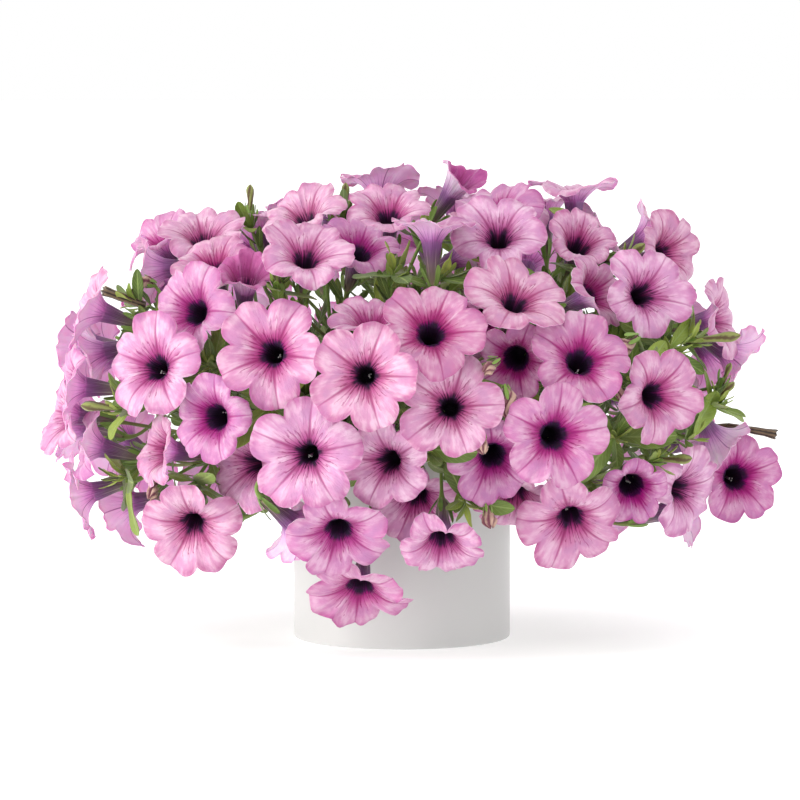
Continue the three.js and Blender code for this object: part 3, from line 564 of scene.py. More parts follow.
# What else shows between the front blooms: place and way as for the blooms, how far out, the length
# and the kind.
ODDMENTS = [
    (57, 166, -40, -20, 6, 11, "withered"),
    (62, 150, 20, -60, 2, 13, "withered"),
    (47, 123, 10, -50, 4, 10, "withered"),
    (51, 79, 20, -60, 6, 11, "withered"),
    (141, 180, -60, -20, 4, 14, "withered"),
    (124, 146, 70, -5, 4, 13, "withered"),
    (-145, 92, -30, -20, 0, 12, "withered"),
    (-149, 212, -60, 10, -4, 13, "withered"),
    (-91, 252, 0, 85, -4, 20, "bud"),
    (-34, 253, 5, 80, -4, 20, "bud"),
    (108, 258, 15, 75, -8, 20, "bud"),
    (119, 226, 70, 10, -6, 22, "dry_bud"),
    (112, 216, 60, -15, -8, 20, "bud"),
    (192, 151, 35, 60, -4, 16, "bud"),
    (-72, 209, -20, 40, -10, 18, "bud"),
    (195, 127, 84, -10, 12, 30, "dry_twig"),
]

SHOOT_STARTS = 12  # the nearest places on the twigs that are tried for a shoot's start
SHOOT_TRIES = 260
SHOOT_ROOM = 27  # from a shoot's tip to the nearest throat
SHOOT_SPACING = 62
SHOOT_SINK = 18  # how far inside the mound's surface the tips lie
SHOOT_LOWEST = 82
SINKS = (0, 8, -6, 16)  # how much further in, or out, a tip may lie


class Shoot:
    """A shoot with a whorl of leaves and perhaps a bud at its tip."""

    def __init__(self, point, slide, out, leaves, leaf_length, bud, seed):
        self.point, self.slide, self.out, self.seed = point, slide, out, seed
        self.leaves, self.leaf_length, self.bud = leaves, leaf_length, bud
        self.path = None

    def find(self, stems):
        """Reads its tip, its stem and its path off the solids; it has no path where they have none."""
        sides = max(3, self.leaves)
        sinks = [s for s in SINKS if solids.on_ring(self.point + self.slide * s, SHOOT_RADIUS) >= sides]
        if not sinks:
            return False
        tip = self.point + self.slide * sinks[0]
        starts = [(length(p - self.point), i, p) for i, stem in enumerate(stems) for p in stem.starts]
        starts = sorted(starts, key=lambda start: start[0])[:SHOOT_STARTS]
        options = [(stems[i], bent_path(p, tip, self.out, bend)) for _, i, p in starts for bend in BENDS]
        best = max(options, key=lambda o: solids.on_ring(o[1][1], SHOOT_RADIUS, o[0].name))
        self.stem, self.path, self.tip = best[0], best[1], tip
        return True

    def facets(self):
        """The middle and the side of each facet of the tip that a leaf grows out of."""
        sides = max(3, self.leaves)
        side = unit(np.cross(self.out, vec(1, 0, 0) if abs(self.out[2]) > 0.95 else UP))
        side = unit(side - self.out * (side @ self.out))
        over = np.cross(self.out, side)
        turns = np.arange(sides + 1) * 2 * math.pi / sides
        ring = np.outer(np.cos(turns), side) + np.outer(np.sin(turns), over)
        ring = self.tip - self.out * HUB_LENGTH / 2 + SHOOT_RADIUS * ring
        return [((a + b) / 2, unit(b - a)) for a, b in zip(ring, ring[1:])]

    def grown_leaves(self):
        """Each leaf of the tip: where it starts, its three ways, its length, width and droop."""
        draw = draws(self.seed)
        sides = max(3, self.leaves)
        found = []
        for middle, side in self.facets()[: self.leaves]:
            full = self.leaf_length * mix(0.85, 1.15, next(draw))
            slim = mix(0.34, 0.46, next(draw))
            droop = mix(0.05, 0.25, next(draw))
            lean = math.radians(mix(0, 45, next(draw)))
            for size in (1, 0.8, 0.6):
                for way in (lean, math.radians(50) - lean, math.radians(-15)):
                    long = size * full
                    away = unit(np.cross(side, self.out))
                    along = away * math.cos(way) + self.out * math.sin(way)
                    normal = np.cross(along, side)
                    tip = middle + along * long - normal * (droop * long + SOLID_LEAF / 2)
                    if solids.owner(tip):
                        reach = SHOOT_RADIUS + 0.32 * long * math.cos(way)
                        room = 1.7 * reach * math.tan(math.pi / max(sides, 4))
                        found.append((middle, along, side, normal, long, min(slim * long, room), droop))
                        break
                else:
                    continue
                break
        return found


def growing_shoots(blooms, stems):
    """The shoots of the table and those of the rest of the mound, where the solids have them."""
    front = []
    for i, (across, above, right, up, nearer, leaves, leaf_length, bud) in enumerate(FRONT_SHOOTS):
        point, sight = on_mound(across, above)
        seed = SEED["front_shoot"] + i
        point = point - sight * nearer
        front.append(Shoot(point, sight, facing(right, up), leaves, leaf_length, bud, seed))
    found = []
    for i in range(SHOOT_TRIES):
        draw = draws(SEED["sizes"] + i)
        out, reach = spread_on_mound(i, SHOOT_TRIES)
        point = MOUND_HEART + out * (reach - SHOOT_SINK)
        if point[1] < BACK_FROM or point[2] < SHOOT_LOWEST:
            continue
        if any(length(b.throat - point) < SHOOT_ROOM for b in blooms):
            continue
        if any(length(s.point - point) < SHOOT_SPACING for s in front + found):
            continue
        leaves = 3 + int(2 * next(draw))
        leaf_length = mix(26, 36, next(draw))
        bud = 24 if next(draw) < 0.3 else 0
        found.append(Shoot(point, -out, out, leaves, leaf_length, bud, SEED["shoot"] + i))
    return [shoot for shoot in front + found if shoot.find(stems)]


# ---------------------------------------------------------------- meshes made of grids


def ring_quads(first, rows, columns):
    """The quads of a grid whose rows are closed rings, and whose points count from first."""
    index = first + np.arange(rows * columns).reshape(rows, columns)
    index = np.column_stack([index, index[:, 0]])
    return np.stack([index[:-1, :-1], index[:-1, 1:], index[1:, 1:], index[1:, :-1]], axis=-1).reshape(-1, 4)


class Form:
    """Grids of points gathered into one mesh. Each point knows its place on the leaf or petal that it
    belongs to and that leaf's own tint, and each face has its finish."""

    def __init__(self, finishes):
        self.finishes = finishes
        self.points, self.places, self.tints, self.quads, self.marks = [], [], [], [], []
        self.count = 0

    def grid(self, points, finish, place=None, tint=0.5):
        """Adds rows of points, each row a closed ring. The side that shows has the rings turn
        counter-clockwise as seen looking back along the rows."""
        rows, columns = points.shape[:2]
        names = list(self.finishes)
        marks = np.vectorize(names.index)(np.broadcast_to(finish, (rows - 1, columns)))
        self.points.append(points.reshape(-1, 3))
        self.places.append(np.zeros((rows * columns, 3)) if place is None else place.reshape(-1, 3))
        self.tints.append(np.full(rows * columns, tint))
        self.quads.append(ring_quads(self.count, rows, columns))
        self.marks.append(marks.reshape(-1))
        self.count += rows * columns

    def piece(self, name, solid):
        """Makes the gathered mesh one piece, which stands for a solid of the frame."""
        mesh = bpy.data.meshes.new(name)
        mesh.from_pydata(np.vstack(self.points) * MM, [], np.vstack(self.quads).tolist())
        mesh.polygons.foreach_set("material_index", np.concatenate(self.marks).astype(np.int32))
        mesh.polygons.foreach_set("use_smooth", np.ones(len(mesh.polygons), dtype=bool))
        place = mesh.attributes.new("place", "FLOAT_VECTOR", "POINT")
        place.data.foreach_set("vector", np.vstack(self.places).astype(np.float32).ravel())
        tint = mesh.attributes.new("tint", "FLOAT", "POINT")
        tint.data.foreach_set("value", np.concatenate(self.tints).astype(np.float32))
        for material in self.finishes.values():
            mesh.materials.append(material)
        made = bpy.data.objects.new(name, mesh)
        bpy.context.scene.collection.objects.link(made)
        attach(made, "root")
        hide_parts(solid)


def tube(form, path, radii, finish, sides=8, tint=0.5):
    """A closed tube along a path, with a radius for each point."""
    path = np.asarray(path, dtype=float)
    radii = np.asarray(radii, dtype=float)
    path = np.vstack([path[:1], path, path[-1:]])
    radii = np.concatenate([radii[:1] * 0.1, radii, radii[-1:] * 0.1])
    way = np.gradient(path[1:-1], axis=0) if len(path) > 3 else np.repeat([path[2] - path[1]], 2, axis=0)
    way = np.vstack([way[:1], way, way[-1:]])
    normal = vec(1, 0, 0) if abs(unit(way[0])[2]) > 0.9 else UP
    turns = round_about(sides)
    rings, places = [], []
    run = 0.0
    for i, (point, radius) in enumerate(zip(path, radii)):
        along = unit(way[i])
        normal = unit(normal - along * (normal @ along))
        side = np.cross(along, normal)
        rings.append(point + radius * (np.outer(np.cos(turns), normal) + np.outer(np.sin(turns), side)))
        run += length(point - path[max(i - 1, 0)])
        places.append(circle(turns, 1, run))
    form.grid(np.array(rings), finish, np.array(places), tint)


def rounded(points, share=0.3):
    """A path whose corners are rounded off, with its straight stretches kept."""
    path = [points[0]]
    for before, corner, after in zip(points, points[1:], points[2:]):
        arc = (mix(corner, before, share), corner, mix(corner, after, share))
        path += list(bezier(arc, np.linspace(0, 1, 6)))
    return np.array(path + [points[-1]])


def add_stalk(form, points, thick, thin, finish, sides, tint):
    """A stalk along a path with its corners rounded off, which tapers from thick to thin."""
    path = rounded(points)
    tube(form, path, np.linspace(thick, thin, len(path)), finish, sides, tint)


def blob(form, centre, size, finish, way=UP, tint=0.5, rows=6, sides=8):
    """A small egg with its long axis along a way; size gives its radii across and along."""
    turns = np.linspace(0, math.pi, rows + 1)[1:-1]
    path = [centre - way * size[1] * math.cos(t) for t in turns]
    tube(form, path, [size[0] * math.sin(t) for t in turns], finish, sides, tint)


# ---------------------------------------------------------------- the fine form of a bloom

PETAL = 0.35  # a petal's thickness
AROUND = 110  # points round a bloom
BLOOM_TURN = -2 * math.pi * np.arange(AROUND) / AROUND
LIMB_STEPS = np.array([0, 0.04, 0.1, 0.17, 0.25, 0.34, 0.43, 0.53, 0.63, 0.72, 0.81, 0.88, 0.94, 0.985, 1])
INNER_STEPS = np.array([0.7, 0.5, 0.32, 0.18, 0.07])  # up the tube's inside
OUTER_STEPS = np.array([0.06, 0.16, 0.3, 0.45, 0.6, 0.8, 1])  # down its outside
TUBE_WALL = 0.3
THROAT_EDGE = 6.0  # radius where the tube opens into the limb
THROAT_FLUTE = 0.07  # how far the throat's edge bulges towards each lobe
TUBE_END = 2.6
MOUTH_SHARE = 0.2  # of the rim's radius, where the throat's edge lies
FRESH_WIDTH = 38  # blooms narrower than this have just opened, and are deeper in colour
RUFFLES = ((3, 0.8), (7, 0.75), (11, 0.6), (17, 0.5), (26, 0.3))  # waves round the rim, and their height


def limb(bloom, steps, rng):
    """The limb's middle surface in the bloom's own frame, and each point's place on it."""
    turn = BLOOM_TURN
    angle = turn + bloom.roll
    lobe = (turn * LOBES / (2 * math.pi)) % 1
    number = np.floor(turn * LOBES / (2 * math.pi)).astype(int) % LOBES
    from_middle = np.abs(2 * lobe - 1)
    scale = bloom.wide / BLOOM_WIDTH
    s = steps[:, None]

    def lobe_own(low, high):
        """A value of each lobe's own."""
        return rng.uniform(low, high, LOBES)[number]

    def notch_own(low, high):
        """A value of each notch's own, eased over the lobe between two notches."""
        values = rng.uniform(low, high, LOBES)
        return mix(values[number], values[(number + 1) % LOBES], lobe)

    long = lobe_own(0.95, 1.035)
    curl = lobe_own(0.4, 5.5)
    notch_lift = notch_own(-3.2, 2.2)
    tilt = notch_own(-1.6, 1.6)
    swell = lobe_own(0.5, 1.9)
    blunt = 1 - 0.05 * from_middle**2 - 0.02 * np.exp(-((from_middle / 0.13) ** 2))
    rim = bloom.wide / 2 * mix(blunt * long, 0.94 - NOTCH, from_middle**4.5)
    mouth = THROAT_EDGE * (1 + THROAT_FLUTE * np.cos(LOBES * turn))
    ruffle = np.zeros(AROUND)
    for waves, high in RUFFLES:
        ruffle += high * rng.uniform(0.4, 1.3) * np.sin(waves * turn + rng.uniform(0, 2 * math.pi))
    # a few lobes fold back along their main vein, and fewer fold forwards
    fold = lobe_own(-1, 1)
    fold = 12 * np.maximum(fold - 0.5, 0) + 14 * np.minimum(fold + 0.75, 0)
    radius = mouth + (rim - mouth) * s
    radius = radius * (1 + 0.014 * s**2 * np.roll(ruffle, 7))
    height = bloom.rise * (1 - (1 - s) ** 2.3)
    height = height - scale * (curl + fold * s**0.6) * (1 - from_middle**2) * s**2.6
    height = height + bloom.warp * np.cos(2 * (angle - bloom.warp_turn)) * s**1.5
    # a sunken main vein, with each half of a lobe swelling up beside it
    aside = from_middle * math.pi / LOBES * radius
    height = height + scale * swell * np.sin(math.pi * from_middle) * s**1.2
    height = height - 0.6 * np.exp(-((aside / 1.2) ** 2)) * np.sqrt(s)
    height = height + scale * (notch_lift * from_middle**5 * s**2 + tilt * np.sin(2 * math.pi * lobe) * s**2)
    height = height + scale * 1.1 * ruffle * s**3.5
    share = MOUTH_SHARE + (1 - MOUTH_SHARE) * s
    place = np.stack([share * np.cos(turn), share * np.sin(turn), 0 * share * turn], axis=-1)
    surface = np.stack([radius * np.cos(angle), radius * np.sin(angle), height], axis=-1)
    return surface, place


def trumpet(bloom, depths, inset):
    """The tube's wall in the bloom's own frame at shares of its length, and each point's place."""
    turn = BLOOM_TURN
    angle = turn + bloom.roll
    t = depths[:, None]
    radius = TUBE_END + (THROAT_EDGE - TUBE_END) * (1 - t) ** 1.2 - inset
    radius = radius * (1 + THROAT_FLUTE * np.cos(LOBES * turn) * (1 - t))
    share = MOUTH_SHARE * (1 - 0.9 * t) + 0 * turn
    place = np.stack([share * np.cos(turn), share * np.sin(turn), 0 * share], axis=-1)
    surface = np.stack([radius * np.cos(angle), radius * np.sin(angle), -bloom.tube * t + 0 * turn], axis=-1)
    return surface, place


def add_bloom(form, bloom):
    """The trumpet of one bloom: its inner face from deep in the tube out to the rim, and its back."""
    rng = np.random.default_rng(bloom.seed)
    top, top_place = limb(bloom, LIMB_STEPS, rng)
    inner, inner_place = trumpet(bloom, INNER_STEPS, TUBE_WALL)
    outer, outer_place = trumpet(bloom, OUTER_STEPS, 0)
    under = top[::-1].copy()
    under[..., 2] -= PETAL
    centre = np.zeros((1, AROUND, 3))
    centre[..., 2] = -INNER_STEPS[0] * bloom.tube
    surface = np.concatenate([centre, inner, top, under, outer])
    place = np.concatenate([inner_place[:1], inner_place, top_place, top_place[::-1], outer_place])
    rows = np.arange(len(surface) - 1)
    face = "fresh_face" if bloom.wide < FRESH_WIDTH else "petal_face"
    finish = np.where(rows < len(inner) + len(top), face, "petal_back")
    finish = np.where(rows < len(inner) + 3, "throat", finish)[:, None]
    form.grid(bloom.carry(surface), finish, place, rng.uniform())


def add_stamens(form, bloom):
    """The pale stigma and anthers that show as small light dots low in the dark throat of some."""
    rng = np.random.default_rng(bloom.seed + 50)
    low = rng.uniform(0, 6.28)
    for _ in range(5):
        turn = low + rng.uniform(-0.7, 0.7)
        reach = rng.uniform(1.2, 2.6)
        centre = bloom.carry((reach * math.cos(turn), reach * math.sin(turn), -rng.uniform(6, 10)))
        blob(form, centre, (0.5, 0.45), "anther", bloom.face, rows=4, sides=5)
        foot = bloom.carry((0, 0, -0.65 * bloom.tube))
        tube(form, [foot, mix(foot, centre, 0.9)], [0.12, 0.12], "throat", 3)


def add_calyx(form, start, face, rng, long=14, spread=1.0, tint=0.5):
    """Five strap-like sepals round the place where a tube sits on its stalk."""
    side, over = crosswise(face, (0.3, 0.9, 0.1))
    for k in range(5):
        turn = 2 * math.pi * k / 5 + rng.uniform(-0.2, 0.2)
        away = side * math.cos(turn) + over * math.sin(turn)
        open_by = spread * rng.uniform(0.35, 0.75)
        along = unit(face + away * open_by)
        across = np.cross(away, face)
        size = long * rng.uniform(0.8, 1.15)
        base = start + away * 1.7 - face * 1.2
        droop = rng.uniform(0.05, 0.3)
        add_leaf(form, base, along, across, size, 3.4 * size / 14, droop, rng, tint, strap=True)


# ---------------------------------------------------------------- the fine form of a leaf

LEAF_ROWS = np.array([0, 0.06, 0.14, 0.25, 0.38, 0.52, 0.66, 0.79, 0.9, 0.97, 1])
LEAF_COLUMNS = np.array([1, 0.88, 0.45, 0, -0.45, -0.88, -1])
LEAF_SHEET = 0.35  # a leaf's thickness


def add_leaf(form, base, along, side, long, wide, droop, rng, tint, strap=False):
    """A soft, drooping blade with a sunken midrib and waved margins, or a narrow, blunt strap."""
    normal = np.cross(along, side)
    s = LEAF_ROWS[:, None]
    if strap:
        outline = np.clip(0.45 + 0.9 * s, 0, 1) * np.sqrt(np.clip(1 - s**6, 0, 1))
    else:
        outline = np.maximum(2.49 * s**0.8 * (1 - s) ** 0.55, 0.12 * (1 - s))
    outline = np.maximum(outline, 0.03)
    a = LEAF_COLUMNS[None, :]
    fold = rng.uniform(0.1, 0.3)
    wave = 0 if strap else rng.uniform(0.02, 0.07) * long
    phase = rng.uniform(0, 6.28)
    lift = fold * np.abs(a) * wide / 2 * outline
    lift = lift + wave * a**2 * np.sin(9 * s + phase + 1.5 * a) * outline * 0.5
    sag = droop * long * s**2
    twist = rng.uniform(-0.5, 0.5) * s
    aside = a * wide / 2 * outline
    high = lift - sag + np.sin(twist) * aside
    rows = np.broadcast_to(long * s, aside.shape)
    upper = (
        base
        + rows[..., None] * along
        + (np.cos(twist) * aside)[..., None] * side
        + (high + LEAF_SHEET / 2)[..., None] * normal
    )
    lower = upper[:, ::-1] - LEAF_SHEET * normal
    place = np.stack(np.broadcast_arrays(a, s, 0 * s), axis=-1)
    count = len(LEAF_COLUMNS)
    finish = "sepal" if strap else np.array(["leaf_upper"] * count + ["leaf_under"] * count)[None, :]
    places = np.concatenate([place, place[:, ::-1]], axis=1)
    form.grid(np.concatenate([upper, lower], axis=1), finish, places, tint)


# The profiles of a bud and of a withered bloom: the share of the length, and the radius there, in mm
# for a bud of full length and in lengths for a withered bloom.
FULL_BUD = 26
BUD_SHARES = np.array([0, 0.02, 0.12, 0.28, 0.45, 0.6, 0.72, 0.82, 0.9, 0.96, 1])
BUD_RADII = np.array([0.1, 1.5, 1.7, 1.75, 1.95, 2.4, 2.9, 3.0, 2.4, 1.3, 0.1])
PURSE_SHARES = [0, 0.12, 0.3, 0.55, 0.75, 0.9, 1]
PURSE_RADII = [0.1, 0.12, 0.18, 0.31, 0.33, 0.24, 0.1]
# a dry twig's: the share of its length, and how far it swells there
TWIG_SWELLS = ((0, 0.1), (0, 1), (0.2, 1.04), (0.38, 0.95), (0.55, 1.08), (0.75, 1.0), (0.9, 1.14), (1, 1.2))
TWIG_BREAK = 2.5  # the radius of its broken end


def add_bud(form, base, way, long, rng, finish):
    """A long, ribbed, slightly twisted bud in its calyx."""
    turns = round_about(20, -1)
    side, over = crosswise(way)
    rings, places = [], []
    for share, radius in zip(BUD_SHARES, BUD_RADII * min(1, long / FULL_BUD)):
        size = radius * (1 + 0.12 * np.cos(5 * turns) * share)
        angle = -turns + 1.6 * share
        ring = np.outer(size * np.cos(angle), side) + np.outer(size * np.sin(angle), over)
        rings.append(base + way * long * share + ring)
        places.append(circle(turns, 1, share))
    form.grid(np.array(rings), finish, np.array(places), rng.uniform())
    add_calyx(form, base, way, rng, long=10, spread=0.6)


def add_withered(form, base, way, long, rng):
    """A faded bloom: a limp purse of folded petal, crumpled and curled in at its mouth."""
    turns = round_about(40, -1)
    side, over = crosswise(way)
    shares = np.linspace(0, 1, 15)
    radii = np.interp(shares, PURSE_SHARES, PURSE_RADII) * long
    droop = rng.uniform(0.15, 0.45) * long
    twist = rng.uniform(0.8, 2.2)
    bend = rng.uniform(-0.16, 0.16) * long
    crumple = rng.uniform(-1, 1, len(turns))
    rings, places = [], []
    for share, radius in zip(shares, radii):
        folds = 0.26 * np.cos(5 * turns + 4 * share) + 0.18 * np.cos(9 * turns - 6 * share + 1)
        folds = (folds + 0.14 * np.roll(crumple, int(6 * share))) * share**0.6
        size = radius * (1 + folds)
        angle = -turns + twist * share
        lean = bend * math.sin(4.5 * share) * side - UP * droop * share**2
        curl = 0.1 * long * share**3 * np.cos(5 * turns + 2)
        ring = np.outer(size * np.cos(angle), side) + np.outer(0.72 * size * np.sin(angle), over)
        rings.append(base + way * long * share + lean + ring + np.outer(curl, way))
        places.append(circle(turns, 1, share))
    # its mouth closes inwards
    mouth = rings[-1]
    for share in (0.4, 0.05):
        rings.append(mix(mouth.mean(axis=0), mouth, share) - way * 0.12 * long * (1 - share))
        places.append(places[-1])
    form.grid(np.array(rings), "withered", np.array(places), rng.uniform())
    add_calyx(form, base, way, rng, long=0.7 * long, spread=0.7, tint=0.1)


def add_dry_twig(form, base, way, long, thin, rng):
    """The dead, snapped end of an old stem: cracked bark and a ragged break."""
    turns = round_about(24, -1)
    side, over = crosswise(way)
    cracks = rng.uniform(-0.1, 0.1, len(turns))
    ragged = rng.uniform(-1.4, 0.6, len(turns))
    rings, places = [], []
    for share, swell in TWIG_SWELLS:
        rough = 0.05 * rng.uniform(-1, 1, len(turns))
        size = mix(thin, TWIG_BREAK, share) * swell * (1 + cracks * min(1, swell) + rough)
        ring = np.outer(size * np.cos(-turns), side) + np.outer(size * np.sin(-turns), over)
        end = ragged * (share == 1)
        rings.append(base + way * long * share + ring + np.outer(end, way))
        places.append(circle(turns, 1, share))
    middle = rings[-1].mean(axis=0)
    rings += [mix(middle, rings[-1], 0.6) - way * 0.8, mix(middle, rings[-1], 0.05) - way * 1.6]
    form.grid(np.array(rings), "dry_wood", np.array(places + [places[-1]] * 2), rng.uniform())


# ---------------------------------------------------------------- colours and node materials


def linear(code):
    """An sRGB hex colour as linear RGBA."""
    channels = [int(code[i : i + 2], 16) / 255 for i in (1, 3, 5)]
    return [c / 12.92 if c <= 0.04045 else ((c + 0.055) / 1.055) ** 2.4 for c in channels] + [1.0]


def node(tree, kind, inputs=None, stops=None, **settings):
    """Adds a node with its settings. Each input is a value, a hex colour, a socket, or a node, which
    stands for its first output in use. stops are a ramp's places and colours. A colour Mix takes its
    share at 0 and its two colours at 6 and 7; a MapRange takes its value and its four ends at 0 to 4."""
    made = tree.nodes.new("ShaderNode" + kind)
    for name, value in settings.items():
        setattr(made, name, value)
    for name, value in (inputs or {}).items():
        socket = made.inputs[name]
        if isinstance(value, bpy.types.Node):
            value = next(out for out in value.outputs if out.enabled)
        if isinstance(value, bpy.types.NodeSocket):
            tree.links.new(value, socket)
        else:
            socket.default_value = linear(value) if isinstance(value, str) else value
    if stops:
        elements = made.color_ramp.elements
        while len(elements) < len(stops):
            elements.new(0.5)
        for element, (place, colour) in zip(elements, stops):
            element.position = place
            element.color = linear(colour)
    return made


def material(name):
    """An empty node material and its tree."""
    made = bpy.data.materials.new(name)
    made.use_nodes = True
    made.node_tree.nodes.clear()
    return made, made.node_tree


def finished(tree, shader):
    node(tree, "OutputMaterial", {"Surface": shader})


def skin(tree, colour, height, strength, depth, settings):
    """The skin that ends a material: its colour, a relief up to so many mm deep, and the rest."""
    relief = node(tree, "Bump", {"Strength": strength, "Distance": depth * MM, "Height": height})
    finished(tree, node(tree, "BsdfPrincipled", {"Base Color": colour, "Normal": relief, **settings}))


def grains(size):
    """The noise scale whose grains are so many mm wide."""
    return 1 / (size * MM)


SMOOTH = {"interpolation_type": "SMOOTHSTEP"}
PETAL_REACH = BLOOM_WIDTH / 2  # from the throat's middle to the rim
HALF_LOBE = math.pi * PETAL_REACH / LOBES  # along the rim, from a lobe's middle to its notch
# What a petal's noises run by: mm across at the rim, mm along, and detail. The clouds are half a lobe
# wide and the streaks lie between two veins. A petal's domed cells are 0.05 mm wide and wouldn't show,
# so the finest noise draws them over 1 mm wide.
PETAL_NOISES = ((14.1, 10.3, 3.0), (3.44, 8.86, 4.0), (1.19, 1.94, 4.0))
# light passes through a petal for about a millimetre, red light furthest
PETAL_FLESH = {"Subsurface Radius": (1.0, 0.5, 0.75), "Subsurface Scale": 1.2 * MM, "Sheen Roughness": 0.5}


def petal_places(tree):
    """What a petal's colours run by: the share of the way out from the throat, how far off the middle
    of its lobe a point is from 0 to 1, the bloom's own tint, and the petal's three noises."""
    place = node(tree, "Attribute", attribute_name="place").outputs["Vector"]
    tint = node(tree, "Attribute", attribute_name="tint").outputs["Fac"]
    split = node(tree, "SeparateXYZ", {0: place})
    out = node(tree, "VectorMath", {0: place}, operation="LENGTH").outputs["Value"]
    angle = node(tree, "Math", {0: split.outputs["Y"], 1: split.outputs["X"]}, operation="ARCTAN2")
    turn = node(tree, "Math", {0: angle, 1: LOBES / (2 * math.pi)}, operation="MULTIPLY")
    lobe = node(tree, "Math", {0: turn}, operation="FRACT")
    double = node(tree, "Math", {0: lobe, 1: 2.0, 2: -1.0}, operation="MULTIPLY_ADD")
    aside = node(tree, "Math", {0: double}, operation="ABSOLUTE")
    return out, aside, tint, [streaks(tree, place, tint, *noise) for noise in PETAL_NOISES]


def streaks(tree, place, tint, wide, long, detail):
    """Noise drawn out along a petal from the throat to the rim, so many mm wide and long."""
    way = node(tree, "VectorMath", {0: place}, operation="NORMALIZE")
    out = node(tree, "VectorMath", {0: place}, operation="LENGTH").outputs["Value"]
    round_it = node(tree, "VectorMath", {0: way, "Scale": PETAL_REACH / wide}, operation="SCALE")
    along = node(tree, "Math", {0: out, 1: PETAL_REACH / long}, operation="MULTIPLY")
    # the tint moves each bloom to a stretch of noise of its own
    along = node(tree, "Math", {0: tint, 1: 60.0, 2: along}, operation="MULTIPLY_ADD")
    lifted = node(tree, "CombineXYZ", {"Z": along})
    moved = node(tree, "VectorMath", {0: round_it, 1: lifted}, operation="ADD")
    return node(tree, "TexNoise", {"Vector": moved, "Scale": 1.0, "Detail": detail}).outputs["Fac"]


def side_veins(tree, aside, apart, slant, out, noise, wiggle):
    """How far a point is from the nearest side vein, 0 to 0.5, times its distance out. The veins are
    so many mm apart at the rim, and slant away from the middle of the lobe as they run out."""
    spread = node(tree, "Math", {0: aside, 1: HALF_LOBE / apart}, operation="MULTIPLY")
    drift = node(tree, "Math", {0: out, 1: slant, 2: spread}, operation="MULTIPLY_ADD")
    bent = node(tree, "Math", {0: noise, 1: wiggle, 2: drift}, operation="MULTIPLY_ADD")
    off = middle_of_stripe(tree, bent)
    return node(tree, "Math", {0: off, 1: out}, operation="MULTIPLY")


def middle_of_stripe(tree, run):
    """How far off the middle of its stripe a point is, 0 to 0.5, where each whole number is a stripe."""
    phase = node(tree, "Math", {0: run}, operation="FRACT")
    off = node(tree, "Math", {0: phase, 1: 0.5}, operation="SUBTRACT")
    return node(tree, "Math", {0: off}, operation="ABSOLUTE")


# a petal's colours: four from the throat's edge outwards, two towards the rim, then the whitish
# painted highlight and the lilac painted shade of its mottling
OPEN_PINKS = ("#9c2573", "#b34a8d", "#c274a3", "#ca8db5", "#c785af", "#b45f95", "#e6c8d9", "#aa7aaa")
FRESH_PINKS = ("#7d1463", "#931a70", "#a52a80", "#b13d8c", "#b44690", "#b3478f", "#c76aa8", "#8c2476")
THROAT_INKS = [(0.0, "#190c1c"), (0.2, "#240f2a"), (0.235, "#351040"), (0.262, "#5a1558")]
PINK_PLACES = (0.305, 0.38, 0.49, 0.68, 0.9, 1.0)
VEIN_INKS = [(0.0, "#0b040f"), (0.25, "#20082a"), (0.32, "#8a1762"), (0.6, "#9c2672"), (1.0, "#ad4489")]
# olive and brown where the calyx holds the tube, then plum, then lilac out to the rim
TUBE_PLUMS = [(0.0, "#7a7048"), (0.035, "#56413e"), (0.07, "#3c2039"), (0.13, "#532b57"), (0.18, "#824d88")]
BACK_LILACS = [(0.25, "#b681b8"), (0.42, "#e2b8dc"), (0.88, "#f1d0e6"), (1.0, "#e3a8cd")]
RIB_INKS = [(0.0, "#a39c70"), (0.1, "#a89792"), (0.17, "#7c5585"), (0.27, "#74407f"), (1.0, "#b876b4")]


